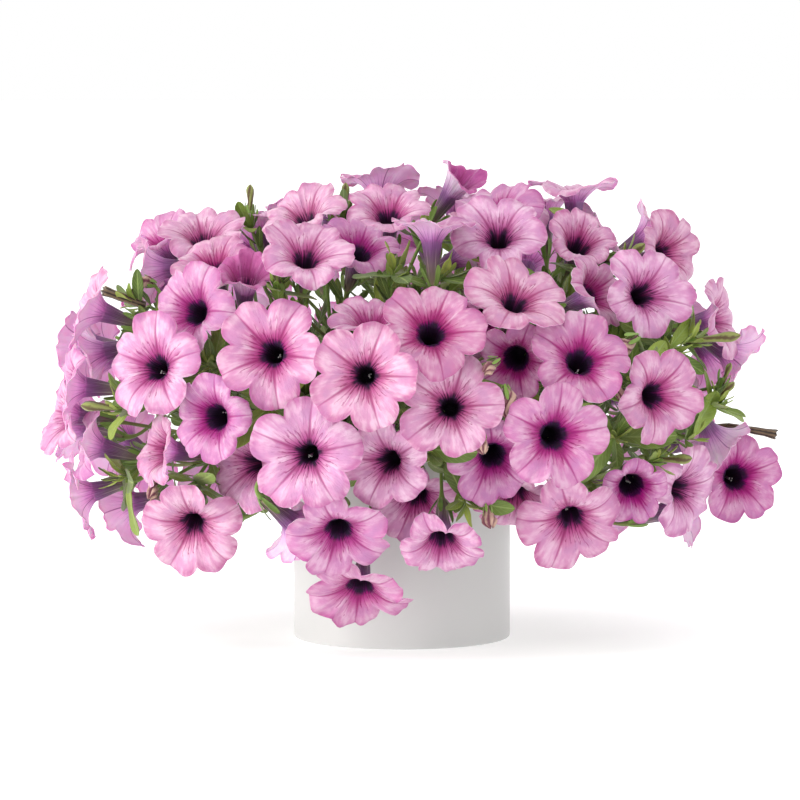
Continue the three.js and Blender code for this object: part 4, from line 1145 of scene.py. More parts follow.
def petal_face(name, pinks, sheen, rough):
    """The petals' face. Living petals are soft and satiny, with a pale sheen of tiny domed cells: pink
    blades mottled with whitish painted highlights and lilac painted shade, magenta veins, and a
    near-black throat with a toothed edge."""
    made, tree = material(name)
    out, aside, tint, (cloud, streak, cells) = petal_places(tree)
    # the colours reach further out along the main veins than beside the notches, and on some blooms
    older = node(tree, "Math", {0: tint, 1: 7.0}, operation="MULTIPLY")
    older = node(tree, "Math", {0: older}, operation="FRACT")
    start = node(tree, "MapRange", {0: older, 1: 0.0, 2: 1.0, 3: -0.12, 4: -0.02})
    star = node(tree, "Math", {0: aside, 1: 0.09, 2: start}, operation="MULTIPLY_ADD")
    ragged = node(tree, "Math", {0: streak, 1: 0.13, 2: star}, operation="MULTIPLY_ADD")
    reach = node(tree, "Math", {0: out, 1: ragged}, operation="ADD")
    blade = node(tree, "ValToRGB", {"Fac": reach}, stops=THROAT_INKS + list(zip(PINK_PLACES, pinks)))
    # the blade is mottled with painted light: clouds of whitish painted highlight and of lilac painted shade
    outer = node(tree, "MapRange", {0: reach, 1: 0.4, 2: 0.62, 3: 0.0, 4: 1.0}, **SMOOTH)
    pale = node(tree, "Math", {0: streak, 1: cloud}, operation="ADD")
    pale = node(tree, "MapRange", {0: pale, 1: 0.86, 2: 1.3, 3: 0.0, 4: 0.6}, **SMOOTH)
    pale = node(tree, "Math", {0: pale, 1: outer}, operation="MULTIPLY")
    blade = node(tree, "Mix", {0: pale, 6: blade, 7: pinks[6]}, data_type="RGBA")
    # lilac painted shade where the clouds are low
    painted_lilac_shade = node(tree, "MapRange", {0: cloud, 1: 0.5, 2: 0.3, 3: 0.0, 4: 0.35}, **SMOOTH)
    painted_lilac_shade = node(tree, "Math", {0: painted_lilac_shade, 1: outer}, operation="MULTIPLY")
    blade = node(tree, "Mix", {0: painted_lilac_shade, 6: blade, 7: pinks[7]}, data_type="RGBA")
    # side veins run out beside the main vein and die out at different lengths
    off = side_veins(tree, aside, 5.9, -1.1, out, streak, 2.2)
    line = node(tree, "MapRange", {0: off, 1: 0.01, 2: 0.09, 3: 1.0, 4: 0.0}, **SMOOTH)
    end = node(tree, "Math", {0: streak, 1: -1.1, 2: out}, operation="MULTIPLY_ADD")
    fade = node(tree, "MapRange", {0: end, 1: -0.2, 2: 0.16, 3: 0.9, 4: 0.0}, **SMOOTH)
    side_vein = node(tree, "Math", {0: line, 1: fade}, operation="MULTIPLY")
    # the main vein reaches the rim, thinning as it goes
    middle = node(tree, "Math", {0: aside, 1: out}, operation="MULTIPLY")
    width = node(tree, "MapRange", {0: out, 1: 0.25, 2: 1.0, 3: 0.1, 4: 0.03})
    main = node(tree, "MapRange", {0: middle, 1: 0.0, 2: width, 3: 1.0, 4: 0.0}, **SMOOTH)
    main_fade = node(tree, "MapRange", {0: out, 1: 0.3, 2: 1.0, 3: 1.0, 4: 0.55})
    main_vein = node(tree, "Math", {0: main, 1: main_fade}, operation="MULTIPLY")
    vein = node(tree, "Math", {0: side_vein, 1: main_vein}, operation="MAXIMUM")
    ink = node(tree, "ValToRGB", {"Fac": out}, stops=VEIN_INKS)
    veined = node(tree, "Mix", {0: vein, 6: blade, 7: ink}, data_type="RGBA")
    # blooms differ a little: some paler, some more lilac with age
    aged = node(tree, "MapRange", {0: tint, 1: 0.0, 2: 1.0, 3: 0.488, 4: 0.512})
    wear_and_painted_light = node(tree, "MapRange", {0: older, 1: 0.0, 2: 1.0, 3: 0.88, 4: 1.1})
    deep = node(tree, "MapRange", {0: older, 1: 0.0, 2: 1.0, 3: 1.12, 4: 0.88})
    coloured = node(tree, "HueSaturation", {"Hue": aged, "Saturation": deep, "Value": wear_and_painted_light, "Color": veined})
    low = node(tree, "Math", {0: vein, 1: -0.6, 2: cells}, operation="MULTIPLY_ADD")
    low = node(tree, "Math", {0: streak, 1: 1.5, 2: low}, operation="MULTIPLY_ADD")
    satin = {"Roughness": rough, "Specular IOR Level": 0.3, "Sheen Weight": sheen, "Subsurface Weight": 0.35}
    skin(tree, coloured, low, 0.55, 0.7, {**satin, **PETAL_FLESH})
    return made


def petal_back():
    """The petals' back and the tube: thin enough for light to shine through, a pale lilac with plum
    veins, and a tube of dark plum with greenish ribs that turns olive where the calyx holds it."""
    made, tree = material("petal_back")
    out, aside, _, (cloud, streak, cells) = petal_places(tree)
    ragged = node(tree, "Math", {0: streak, 1: 0.1, 2: -0.05}, operation="MULTIPLY_ADD")
    reach = node(tree, "Math", {0: out, 1: ragged}, operation="ADD")
    blade = node(tree, "ValToRGB", {"Fac": reach}, stops=TUBE_PLUMS + BACK_LILACS)
    # whitish painted highlights in clouds towards the rim
    outer = node(tree, "MapRange", {0: reach, 1: 0.35, 2: 0.62, 3: 0.0, 4: 1.0}, **SMOOTH)
    pale = node(tree, "MapRange", {0: cloud, 1: 0.45, 2: 0.68, 3: 0.0, 4: 0.5}, **SMOOTH)
    pale = node(tree, "Math", {0: pale, 1: outer}, operation="MULTIPLY")
    blade = node(tree, "Mix", {0: pale, 6: blade, 7: "#f3dcf0"}, data_type="RGBA")
    # the main veins stand out as ribs, green-grey on the tube and plum on the limb
    middle = node(tree, "Math", {0: aside, 1: out}, operation="MULTIPLY")
    rib = node(tree, "MapRange", {0: middle, 1: 0.008, 2: 0.034, 3: 0.8, 4: 0.0}, **SMOOTH)
    off = side_veins(tree, aside, 5.73, -1.2, out, cells, 0.45)
    line = node(tree, "MapRange", {0: off, 1: 0.01, 2: 0.07, 3: 0.5, 4: 0.0}, **SMOOTH)
    fade = node(tree, "MapRange", {0: reach, 1: 0.25, 2: 0.65, 3: 1.0, 4: 0.1})
    line = node(tree, "Math", {0: line, 1: fade}, operation="MULTIPLY")
    vein = node(tree, "Math", {0: rib, 1: line}, operation="MAXIMUM")
    ink = node(tree, "ValToRGB", {"Fac": out}, stops=RIB_INKS)
    veined = node(tree, "Mix", {0: vein, 6: blade, 7: ink}, data_type="RGBA")
    height = node(tree, "Math", {0: vein, 1: streak}, operation="ADD")
    thin = {"Roughness": 0.5, "Specular IOR Level": 0.35, "Sheen Weight": 0.12, "Subsurface Weight": 0.9}
    skin(tree, veined, height, 0.55, 0.5, {**thin, **PETAL_FLESH})
    return made


LIME = [(0.8, "#879b3b"), (1.0, "#b1bd57")]  # of young leaves
LEAF_VEINS = 8  # side veins along each half of a leaf, however long it is
LEAF_FLESH = {"Subsurface Weight": 0.06, "Subsurface Radius": (0.5, 1.0, 0.2), "Subsurface Scale": 0.8 * MM}


def leaf_side(name, dark, light, rib, sheen):
    """A leaf's skin: soft green with a paler midrib and arching side veins, and a down of fine hairs
    that gives it a dull sheen. Young leaves are lime, old ones dark."""
    made, tree = material(name)
    place = node(tree, "Attribute", attribute_name="place").outputs["Vector"]
    tint = node(tree, "Attribute", attribute_name="tint").outputs["Fac"]
    split = node(tree, "SeparateXYZ", {0: place})
    across = node(tree, "Math", {0: split.outputs["X"]}, operation="ABSOLUTE")
    where = node(tree, "NewGeometry").outputs["Position"]
    # painted patches of sun and shade about a leaf's width
    cloud = node(tree, "TexNoise", {"Vector": where, "Scale": grains(11.1), "Detail": 3.0})
    # the hairs stand about 0.2 mm apart, and are drawn 1.4 mm apart so that they show
    down = node(tree, "TexNoise", {"Vector": where, "Scale": grains(1.43), "Detail": 3.0})
    body = node(tree, "ValToRGB", {"Fac": tint}, stops=[(0.0, dark), (0.55, light), *LIME])
    # side veins leave the midrib forwards and arch towards the margin
    run = node(tree, "Math", {0: across, 1: -0.28, 2: split.outputs["Y"]}, operation="MULTIPLY_ADD")
    run = node(tree, "Math", {0: run, 1: LEAF_VEINS}, operation="MULTIPLY")
    off = middle_of_stripe(tree, run)
    line = node(tree, "MapRange", {0: off, 1: 0.02, 2: 0.12, 3: 0.45, 4: 0.0}, **SMOOTH)
    middle = node(tree, "MapRange", {0: across, 1: 0.03, 2: 0.16, 3: 0.85, 4: 0.0}, **SMOOTH)
    vein = node(tree, "Math", {0: line, 1: middle}, operation="MAXIMUM")
    veined = node(tree, "Mix", {0: vein, 6: body, 7: rib}, data_type="RGBA")
    # the clouds lighten and darken the leaf's colour as painted sun and shade
    wear_and_painted_light = node(tree, "MapRange", {0: cloud, 1: 0.3, 2: 0.7, 3: 0.75, 4: 1.2})
    coloured = node(tree, "HueSaturation", {"Value": wear_and_painted_light, "Color": veined})
    low = node(tree, "Math", {0: vein, 1: -1.0, 2: down}, operation="MULTIPLY_ADD")
    dull = {"Roughness": 0.5, "Specular IOR Level": 0.45, "Sheen Weight": sheen, "Sheen Roughness": 0.4}
    skin(tree, coloured, low, 0.5, 0.35, {**dull, **LEAF_FLESH})
    return made


def green_skin(name, young, old, ridge):
    """The skin of stalks, sepals and stems: green, flushed brown where older, and dulled by short
    hairs."""
    made, tree = material(name)
    where = node(tree, "NewGeometry").outputs["Position"]
    tint = node(tree, "Attribute", attribute_name="tint").outputs["Fac"]
    flush = node(tree, "TexNoise", {"Vector": where, "Scale": grains(3.85), "Detail": 3.0})
    # hairs about 0.2 mm apart, drawn 0.6 mm apart so that they show
    down = node(tree, "TexNoise", {"Vector": where, "Scale": grains(0.625), "Detail": 2.0})
    blend = node(tree, "Math", {0: tint, 1: flush}, operation="MULTIPLY")
    share = node(tree, "MapRange", {0: blend, 1: 0.1, 2: 0.55, 3: 0.0, 4: 1.0})
    body = node(tree, "Mix", {0: share, 6: young, 7: old}, data_type="RGBA")
    dull = {"Roughness": 0.6, "Sheen Weight": 0.35, "Sheen Roughness": 0.4}
    skin(tree, body, down, ridge, 0.3, dull)
    return made


def bud_skin(name, rib, valley, folds=3.3):
    """The folded, ribbed skin of a closed or withered bloom, or bark cracked along its length: striped
    with so many folds round it."""
    made, tree = material(name)
    place = node(tree, "Attribute", attribute_name="place").outputs["Vector"]
    split = node(tree, "SeparateXYZ", {0: place})
    angle = node(tree, "Math", {0: split.outputs["Y"], 1: split.outputs["X"]}, operation="ARCTAN2")
    turn = node(tree, "Math", {0: angle, 1: folds * 3 / math.pi}, operation="MULTIPLY")
    twist = node(tree, "Math", {0: split.outputs["Z"], 1: 0.8, 2: turn}, operation="MULTIPLY_ADD")
    wave = node(tree, "Math", {0: twist, 1: 3.0}, operation="PINGPONG")
    where = node(tree, "NewGeometry").outputs["Position"]
    crumple = node(tree, "TexNoise", {"Vector": where, "Scale": grains(2.38), "Detail": 4.0})
    uneven = node(tree, "Math", {0: crumple, 1: 3.0, 2: wave}, operation="MULTIPLY_ADD")
    share = node(tree, "MapRange", {0: uneven, 1: 1.9, 2: 3.9, 3: 0.0, 4: 1.0}, **SMOOTH)
    body = node(tree, "Mix", {0: share, 6: rib, 7: valley}, data_type="RGBA")
    skin(tree, body, share, 0.6, 0.5, {"Roughness": 0.6, "Sheen Weight": 0.3, "Sheen Roughness": 0.4})
    return made


def pollen():
    """Anthers and stigma: small, pale, waxy and a little damp."""
    made, tree = material("anther")
    where = node(tree, "NewGeometry").outputs["Position"]
    # pollen is far finer, and is drawn as coarse as the anthers' own lobes
    dust = node(tree, "TexNoise", {"Vector": where, "Scale": grains(0.667), "Detail": 2.0})
    body = node(tree, "Mix", {0: dust, 6: "#8f8a9c", 7: "#d9d6c8"}, data_type="RGBA")
    finished(tree, node(tree, "BsdfPrincipled", {"Base Color": body, "Roughness": 0.35}))
    return made


def white_glaze():
    """A smooth white tin glaze on earthenware: glossy but slightly uneven where it pooled and dried,
    so that its reflections are soft."""
    made, tree = material("white_glaze")
    where = node(tree, "NewGeometry").outputs["Position"]
    # the glaze flowed in waves about 40 mm wide, and dried with an orange peel of about 1.5 mm
    flow = node(tree, "TexNoise", {"Vector": where, "Scale": grains(40), "Detail": 1.0})
    peel = node(tree, "TexNoise", {"Vector": where, "Scale": grains(1.54), "Detail": 2.0})
    body = node(tree, "Mix", {0: flow, 6: "#cfcfce", 7: "#d3d3d2"}, data_type="RGBA")
    rough = node(tree, "MapRange", {0: flow, 1: 0.3, 2: 0.7, 3: 0.34, 4: 0.4})
    waves = node(tree, "Bump", {"Strength": 0.03, "Distance": 0.4 * MM, "Height": flow})
    relief = node(tree, "Bump", {"Strength": 0.03, "Distance": 0.1 * MM, "Height": peel, "Normal": waves})
    finished(tree, node(tree, "BsdfPrincipled", {"Base Color": body, "Roughness": rough, "Normal": relief}))
    return made


def crumb(name, dark, light, size, rough):
    """Moist peat, bark and perlite: dull, crumbly matter, darker in its hollows."""
    made, tree = material(name)
    where = node(tree, "NewGeometry").outputs["Position"]
    grain = node(tree, "TexNoise", {"Vector": where, "Scale": grains(size), "Detail": 6.0})
    body = node(tree, "Mix", {0: grain, 6: dark, 7: light}, data_type="RGBA")
    skin(tree, body, grain, 0.9, 0.8, {"Roughness": rough})
    return made


PLANT = {
    "petal_face": petal_face("petal_face", OPEN_PINKS, sheen=0.2, rough=0.5),
    "fresh_face": petal_face("fresh_face", FRESH_PINKS, sheen=0.2, rough=0.5),
    "throat": petal_face("throat", OPEN_PINKS, sheen=0.0, rough=0.7),
    "petal_back": petal_back(),
    "leaf_upper": leaf_side("leaf_upper", "#38481f", "#657f33", "#93a95c", 0.15),
    "leaf_under": leaf_side("leaf_under", "#586c3f", "#7f9453", "#9fae78", 0.25),
    "sepal": green_skin("sepal", "#7f9f45", "#5d7a33", 0.4),
    "stalk": green_skin("stalk", "#76933f", "#6a5a3a", 0.4),
    "bark": green_skin("bark", "#5d7433", "#5b4630", 0.6),
    "bud": bud_skin("bud", "#5b4a2c", "#8d9450"),
    "dry_bud": bud_skin("dry_bud", "#3c2c1c", "#8a7148"),
    "withered": bud_skin("withered", "#7a4152", "#c7a493", 5.0),
    "dry_wood": bud_skin("dry_wood", "#33261e", "#77624a", 7.0),
    "anther": pollen(),
}
POT_FINISH = {"glaze": white_glaze()}
SOIL_FINISH = {
    "peat": crumb("peat", "#1d130c", "#4d3524", 3.33, 0.95),
    "bark_chip": crumb("bark_chip", "#3a2416", "#75502f", 2, 0.85),
    "perlite": crumb("perlite", "#b9b4aa", "#ecebe6", 1.43, 0.9),
}


def plant_finishes(*names):
    """The plant's finishes that one piece has."""
    return {name: PLANT[name] for name in names}


# ---------------------------------------------------------------- the bunches of blooms


STALK_POINTS = 14


def stalk_points(bloom, bunch, end):
    """The way of a bloom's stalk, from its tube to where it ends on the bunch's stub."""
    start, bend = bloom.stalk_start(bunch.straight)
    return bezier((start, bend, end), np.linspace(0, 1, STALK_POINTS))


def stalk_path(bunch, k):
    """The stalk of bloom number k: its path and its radii. The main stalk goes on as the stub."""
    bloom = (bunch.blooms + bunch.late)[k]
    along_stub = 0 if k == bunch.main else STALK_STEP * k + 1
    path = stalk_points(bloom, bunch, bunch.point + bunch.to_fork * along_stub)
    radii = np.interp(np.linspace(0, 1, STALK_POINTS), [0, 0.08, 0.2, 1], [2.3, 1.7, 1.05, 1.15])
    if k == bunch.main:
        stub = bunch.point + np.outer([1.5, 4, 7, STUB], bunch.to_fork)
        path = np.vstack([path, stub])
        radii = np.concatenate([radii, [1.9, 2.1, 2.1, 1.9]])
    return path, radii


def make_bunch(bunch):
    """A bunch as two pieces: its flowers, and their stalks and sepals."""
    flowers = Form(plant_finishes("petal_face", "fresh_face", "throat", "petal_back", "anther"))
    greens = Form(plant_finishes("stalk", "sepal"))
    for k, bloom in enumerate(bunch.blooms + bunch.late):
        rng = np.random.default_rng(bloom.seed + 100)
        add_bloom(flowers, bloom)
        if bloom.seed % 2:  # the anthers of about half the blooms stand high enough to show
            add_stamens(flowers, bloom)
        path, radii = stalk_path(bunch, k)
        tube(greens, path, radii, "stalk", 8, rng.uniform(0.2, 0.8))
        add_calyx(greens, path[0], bloom.face, rng, tint=rng.uniform())
    flowers.piece(bunch.name + "_flowers", bunch.name)
    greens.piece(bunch.name + "_stalks", bunch.name)


# ---------------------------------------------------------------- room between petals

SHEET_LIMB = np.array([0, 0.12, 0.34, 0.6, 0.85, 1])
SHEET_TUBE = np.array([1, 0.6, 0.3, 0.06])


def sheet(bloom):
    """A bloom's shape as one sheet of few points, to see what it touches."""
    limb_rows, _ = limb(bloom, SHEET_LIMB, np.random.default_rng(bloom.seed))
    tube_rows, _ = trumpet(bloom, SHEET_TUBE, 0)
    return bloom.carry(np.concatenate([tube_rows, limb_rows])[:, ::3])


def surface_of(sheets):
    """Sheets of points, each row a closed ring, as one surface to test against."""
    points, faces, first = [], [], 0
    for rows in sheets:
        faces.append(ring_quads(first, *rows.shape[:2]))
        points.append(rows.reshape(-1, 3))
        first += rows.shape[0] * rows.shape[1]
    return BVHTree.FromPolygons(np.vstack(points).tolist(), np.vstack(faces).tolist())


def is_clear(path, surface):
    """Whether a path passes no petal."""
    steps = zip(path, path[1:])
    return all(surface.ray_cast(Vector(a), Vector(unit(b - a)), length(b - a))[0] is None for a, b in steps)


FACE_ROOM = 24  # no leaf stands this close before a bloom's face
LATE_SPACING = 38
LATE_FOREMOST = -45  # none of the added blooms stands nearer to the viewer
LATE_SEED = 500
LATE_SHIFTS = (0, -5, 5, -10, 10, 15, -15, 20, -22)  # out and in along the way it faces
JOIN_TRIES = 7  # the nearest bunches that a late bloom's stalk may join


def in_cup(points, bloom):
    """Which points lie in a bloom's tube or close before its face."""
    away = points - bloom.throat
    deep = away @ bloom.face
    aside = np.sqrt(np.maximum(np.einsum("ij,ij->i", away, away) - deep**2, 0))
    share = np.clip((aside - THROAT_EDGE) / (bloom.wide / 2 - THROAT_EDGE), 0, 1)
    cup = np.where(aside < THROAT_EDGE, -bloom.tube, RIM_RISE * (1 - (1 - share) ** 2.3) - 1)
    return (deep > cup) & (deep < FACE_ROOM) & (aside < 0.4 * bloom.wide)


def add_late_blooms(bunches, shoots):
    """Blooms that the plain solids leave out to stay small: they stand in the gaps of the sides and
    the back, and each joins the nearest bunch that its stalk can reach."""
    tips = [shoot.tip for shoot in shoots]
    for shoot in shoots:
        for middle, along, _, _, long, _, _ in shoot.grown_leaves():
            tips += [middle + along * long * share for share in (0.4, 0.7, 1)]
    tips = np.array(tips)
    sheets = [sheet(b) for bunch in bunches for b in bunch.blooms]
    placed = [b for bunch in bunches for b in bunch.blooms]
    surface = surface_of(sheets)
    for bloom in back_blooms(placed, LATE_SPACING, LATE_FOREMOST):
        home = bloom.throat
        bloom.seed += LATE_SEED
        for shift in LATE_SHIFTS:
            bloom.throat = home + bloom.slide * shift
            own = sheet(bloom)
            if surface.overlap(surface_of([own])) or in_cup(tips, bloom).any():
                continue
            near = sorted(bunches, key=lambda b: length(b.point - bloom.throat))[:JOIN_TRIES]
            stalks = [(b, stalk_points(bloom, b, b.point + b.to_fork * 3)[2:]) for b in near]
            fitting = [b for b, stalk in stalks if is_clear(stalk, surface)]
            if fitting:
                fitting[0].late.append(bloom)
                sheets.append(own)
                surface = surface_of(sheets)
                break
    return surface


# ---------------------------------------------------------------- the leafy stems

LEAF_SIZES = (1, 0.75, 0.55)  # tried in turn
# How leaves stand along a stalk: the mm from one to the next, their lengths in mm, how young they look
# (0 is old and dark, 1 is lime), how far they lean forwards, and their width to their length.
LEAF_WAYS = {
    "stem": (5.5, (20, 34), (0.0, 0.4), (0.2, 0.9), (0.28, 0.42)),
    "twig": (4, (15, 29), (0.05, 0.6), (0.2, 0.9), (0.28, 0.42)),
    "twig_end": (1.5, (18, 32), (0.1, 0.7), (0.5, 2.2), (0.26, 0.38)),
    "shoot": (4.5, (15, 28), (0.3, 0.85), (0.5, 1.7), (0.22, 0.34)),
    "shoot_tip": (0.9, (9, 17), (0.7, 1.0), (0.4, 2.2), (0.24, 0.34)),
}


def free_length(base, way, wanted):
    """How long a bud may be before it would run into a petal."""
    _, _, _, reach = petals.ray_cast(Vector(base + way * 1.5), Vector(way), wanted + 2)
    return wanted if reach is None else reach


def hides_face(point):
    """Whether a point lies in the cup of any bloom."""
    return any(in_cup(point[None], bloom)[0] for bloom in standing if length(bloom.throat - point) < 45)


def leaf_fits(base, along, across, long, wide, droop):
    """Whether a leaf passes no petal and hides no face."""
    down = np.cross(along, across) * droop * long
    tip = base + along * long - down
    middle = base + along * 0.55 * long - 0.3 * down
    across = [middle + across * wide / 2, middle, middle - across * wide / 2]
    if any(hides_face(p) for p in across + [tip]):
        return False
    return all(is_clear([base + along * 1.5, p, tip], petals) for p in across)


def leaves_along(form, path, rng, where):
    """Leaves set one by one round a stalk, a golden angle apart, where petals leave room."""
    spacing, sizes, tints, rise, slim = LEAF_WAYS[where]
    turn = rng.uniform(0, 6.28)
    for a, b in zip(path, path[1:]):
        way = unit(b - a)
        side = unit(np.cross(way, UP if abs(way[2]) < 0.9 else vec(1, 0, 0)))
        over = np.cross(side, way)
        steps = max(1, round(length(b - a) / spacing))
        for k in range(steps):
            turn += GOLDEN_ANGLE
            away = side * math.cos(turn) + over * math.sin(turn)
            along = unit(away + way * rng.uniform(*rise) + UP * 0.25)
            base = mix(a, b, (k + rng.uniform(0.2, 0.8)) / steps)
            across = unit(np.cross(along, np.cross(UP, along) if abs(along[2]) < 0.95 else vec(0, 1, 0)))
            across = unit(np.cross(along, across))
            wanted = rng.uniform(*sizes)
            share = rng.uniform(*slim)
            droop = rng.uniform(0.05, 0.3)
            for size in LEAF_SIZES:
                long = wanted * size
                if leaf_fits(base, along, across, long, long * share, droop):
                    add_leaf(form, base, along, across, long, long * share, droop, rng, rng.uniform(*tints))
                    break


ODDMENT_SINKS = (0, 4, 8, 12)
ODDMENT_SEED = 8000


class Oddment:
    """A bud, a faded bloom or a dead twig end on a stalk of its own, and the stem that it grows from."""

    def __init__(self, row, seed):
        across, above, right, up, nearer, self.long, self.kind = row
        point, self.sight = on_mound(across, above)
        self.home, self.way, self.seed = point - self.sight * nearer, facing(right, up), seed

    def find(self, stems):
        """Sinks into the mound until it and its stalk pass no petal; it stays away where none will do."""
        starts = [(length(p - self.home), i, p) for i, stem in enumerate(stems) for p in stem.starts]
        starts = sorted(starts, key=lambda s: s[0])[: 3 * SHOOT_STARTS]
        for sink in ODDMENT_SINKS:
            self.base = self.home + self.sight * sink
            tip = self.base + self.way * self.long
            if self.kind == "withered" and (hides_face(tip) or hides_face(self.base)):
                continue
            if not is_clear([self.base, tip], petals):
                continue
            for _, i, start in starts:
                for bend in BENDS:
                    path = bent_path(start, self.base, self.way, bend)
                    if is_clear(rounded(path), petals):
                        self.stem, self.path = stems[i], path
                        return True
        return False

    def grow(self, form):
        """Adds it and its stalk to the stem's form."""
        rng = np.random.default_rng(self.seed)
        if self.kind == "dry_twig":
            add_stalk(form, self.path, 1.8, 1.5, "bark", 7, 1.0)
            add_dry_twig(form, self.base, self.way, self.long, 1.5, rng)
            return
        add_stalk(form, self.path, 1.3, 1.0, "stalk", 7, rng.uniform(0.2, 0.7))
        if self.kind == "withered":
            add_withered(form, self.base, self.way, self.long, rng)
        else:
            add_bud(form, self.base, self.way, self.long, rng, self.kind)


def add_shoot(form, shoot, rng):
    """A shoot: its stalk and leaves, and the bud or the dry twig end at its tip."""
    add_stalk(form, shoot.path, SHOOT_RADIUS + 0.2, SHOOT_RADIUS - 0.1, "stalk", 7, rng.uniform(0.2, 0.6))
    leaves_along(form, shoot.path, rng, "shoot")
    for middle, along, side, _, long, wide, droop in shoot.grown_leaves():
        add_leaf(form, middle, along, side, long, wide, droop, rng, rng.uniform(0.35, 0.85))
    leaves_along(form, [shoot.tip - shoot.out * 3, shoot.tip + shoot.out * 3], rng, "shoot_tip")
    if shoot.bud and shoot.leaves:
        long = min(shoot.bud, free_length(shoot.tip, shoot.out, shoot.bud) - 1)
        add_bud(form, shoot.tip, shoot.out, long, rng, "bud")
    elif shoot.bud:
        foot = shoot.tip - 6 * shoot.out
        long = min(0.8 * shoot.bud, free_length(foot, shoot.out, shoot.bud) - 1)
        add_dry_twig(form, foot, shoot.out, long, 2.3, rng)


STEM_FINISHES = (
    "bark", "stalk", "leaf_upper", "leaf_under", "sepal", "bud", "dry_bud", "withered", "dry_wood",
)
STEM_SEED = 900
TWIG_END_SEED = 700
TWIG_END = 9  # the stretch at a twig's end that more leaves grow out of


def make_stem(stem, shoots, oddments, number):
    """A stem with its twigs, shoots, leaves and oddments, as one piece."""
    form = Form(plant_finishes(*STEM_FINISHES))
    rng = np.random.default_rng(STEM_SEED + number)
    add_stalk(form, stem.axis, STEM_RADIUS, FORK_RADIUS, "bark", 10, 0.9)
    leaves_along(form, stem.axis[2:], rng, "stem")
    for twig in stem.twigs:
        add_stalk(form, twig, TWIG_RADIUS, TWIG_RADIUS - 0.2, "bark", 8, rng.uniform(0.4, 0.8))
        leaves_along(form, twig, rng, "twig")
    for shoot in shoots:
        add_shoot(form, shoot, rng)
    for oddment in oddments:
        oddment.grow(form)
    # where a twig ends and its flower stalks begin, more leaves point outwards
    rng = np.random.default_rng(TWIG_END_SEED + number)
    for twig in stem.twigs:
        way = unit(twig[-1] - twig[-2])
        leaves_along(form, [twig[-1] - way * TWIG_END, twig[-1]], rng, "twig_end")
    form.piece(stem.name + "_sprays", stem.name)


# ---------------------------------------------------------------- the pot and its soil


POT_INNER = POT_RADIUS - POT_WALL
OUTER_EDGE = 1.4  # the radius of the pot's rounded outer edges
INNER_EDGE = 1.2  # and of its lip's inner edge
FOOT_RECESS = 1.0  # how far the middle of its underside stands off the ground
POT_SIDES = 128
SOIL_SIDES = 96
SOIL_CRUMBS = 420
SOIL_SEED = 7
# the crumbs on the soil: the share of each kind, and its length to its width
CRUMBS = {"peat": (0.45, 1.0), "bark_chip": (0.35, 2.4), "perlite": (0.2, 1.1)}


def corner(radius, z, size, start):
    """A rounded edge: a quarter circle about (radius, z), from the angle start in degrees."""
    angles = [math.radians(a) for a in np.linspace(start, start + 90, 6)]
    return [(radius + size * math.cos(a), z + size * math.sin(a)) for a in angles]


def make_pot():
    """The pot, turned from its half profile, which runs from the axis below to the axis inside."""
    form = Form(POT_FINISH)
    foot = POT_RADIUS - 4
    profile = [(0.1, FOOT_RECESS), (foot - 5, FOOT_RECESS), (foot - 4, 0.1), (foot, 0)]
    profile += corner(POT_RADIUS - OUTER_EDGE, OUTER_EDGE, OUTER_EDGE, -90)
    profile += [(POT_RADIUS, z) for z in np.linspace(4, POT_HEIGHT - 4, 10)]
    profile += corner(POT_RADIUS - OUTER_EDGE, POT_HEIGHT - OUTER_EDGE, OUTER_EDGE, 0)
    profile += corner(POT_INNER + INNER_EDGE, POT_HEIGHT - INNER_EDGE, INNER_EDGE, 90)
    profile += [(POT_INNER, z) for z in np.linspace(POT_HEIGHT - 4, POT_FLOOR + 2, 6)]
    profile += [(POT_INNER - 2, POT_FLOOR), (0.1, POT_FLOOR)]
    turns = round_about(POT_SIDES)
    form.grid(np.array([circle(turns, radius, z) for radius, z in profile]), "glaze")
    form.piece("pot_body", "pot")


def soil_level(share):
    """The height of the soil at a share of the way out to the wall."""
    return SOIL_LEVEL - SOIL_CROWN * share**2


def make_soil():
    """The potting mix: its sides, its cloddy top and the crumbs that lie on it."""
    form = Form(SOIL_FINISH)
    rng = np.random.default_rng(SOIL_SEED)
    radius = POT_INNER - GAP
    turns = round_about(SOIL_SIDES)
    floor = POT_FLOOR + GAP
    side = ((0.1, floor), (radius, floor), (radius, 50), (radius, soil_level(1) - 1))
    rings = [circle(turns, r, z) for r, z in side]
    for share in np.linspace(1, 0.01, 26):
        x, y = share * radius * np.cos(turns), share * radius * np.sin(turns)
        clods = np.sin(x * 0.9 + 2 * np.sin(y * 0.31)) * np.sin(y * 0.83 + 2 * np.sin(x * 0.27))
        clods = clods + 0.5 * np.sin(1.9 * x + 1.3 * y) + rng.uniform(-0.3, 0.3, SOIL_SIDES)
        rings.append(np.column_stack([x, y, soil_level(share) - 0.6 + 0.6 * clods * min(1, 8 * (1 - share))]))
    form.grid(np.array(rings), "peat")
    for _ in range(SOIL_CRUMBS):
        turn = rng.uniform(0, 6.28)
        share = math.sqrt(rng.uniform(0, 0.93))
        centre = vec(share * radius * math.cos(turn), share * radius * math.sin(turn), soil_level(share))
        kind = rng.choice(list(CRUMBS), p=[part for part, _ in CRUMBS.values()])
        way = unit(rng.normal(size=3) * vec(1, 1, 0.3))
        size = rng.uniform(0.7, 1.5)
        blob(form, centre, (size, size * CRUMBS[kind][1]), kind, way, rows=5, sides=6)
    form.piece("potting_mix_surface", "potting_mix")


# ---------------------------------------------------------------- the plant in its pot

bunches = [Bunch(name, blooms) for name, blooms in growing_blooms()]
stems = [
    Stem(f"leafy_stem_{i + 1:02d}", [bunches[k] for k in group])
    for i, group in enumerate(gather([b.point for b in bunches], STEMS))
]
blooms = [bloom for bunch in bunches for bloom in bunch.blooms]
shoots = growing_shoots(blooms, stems)

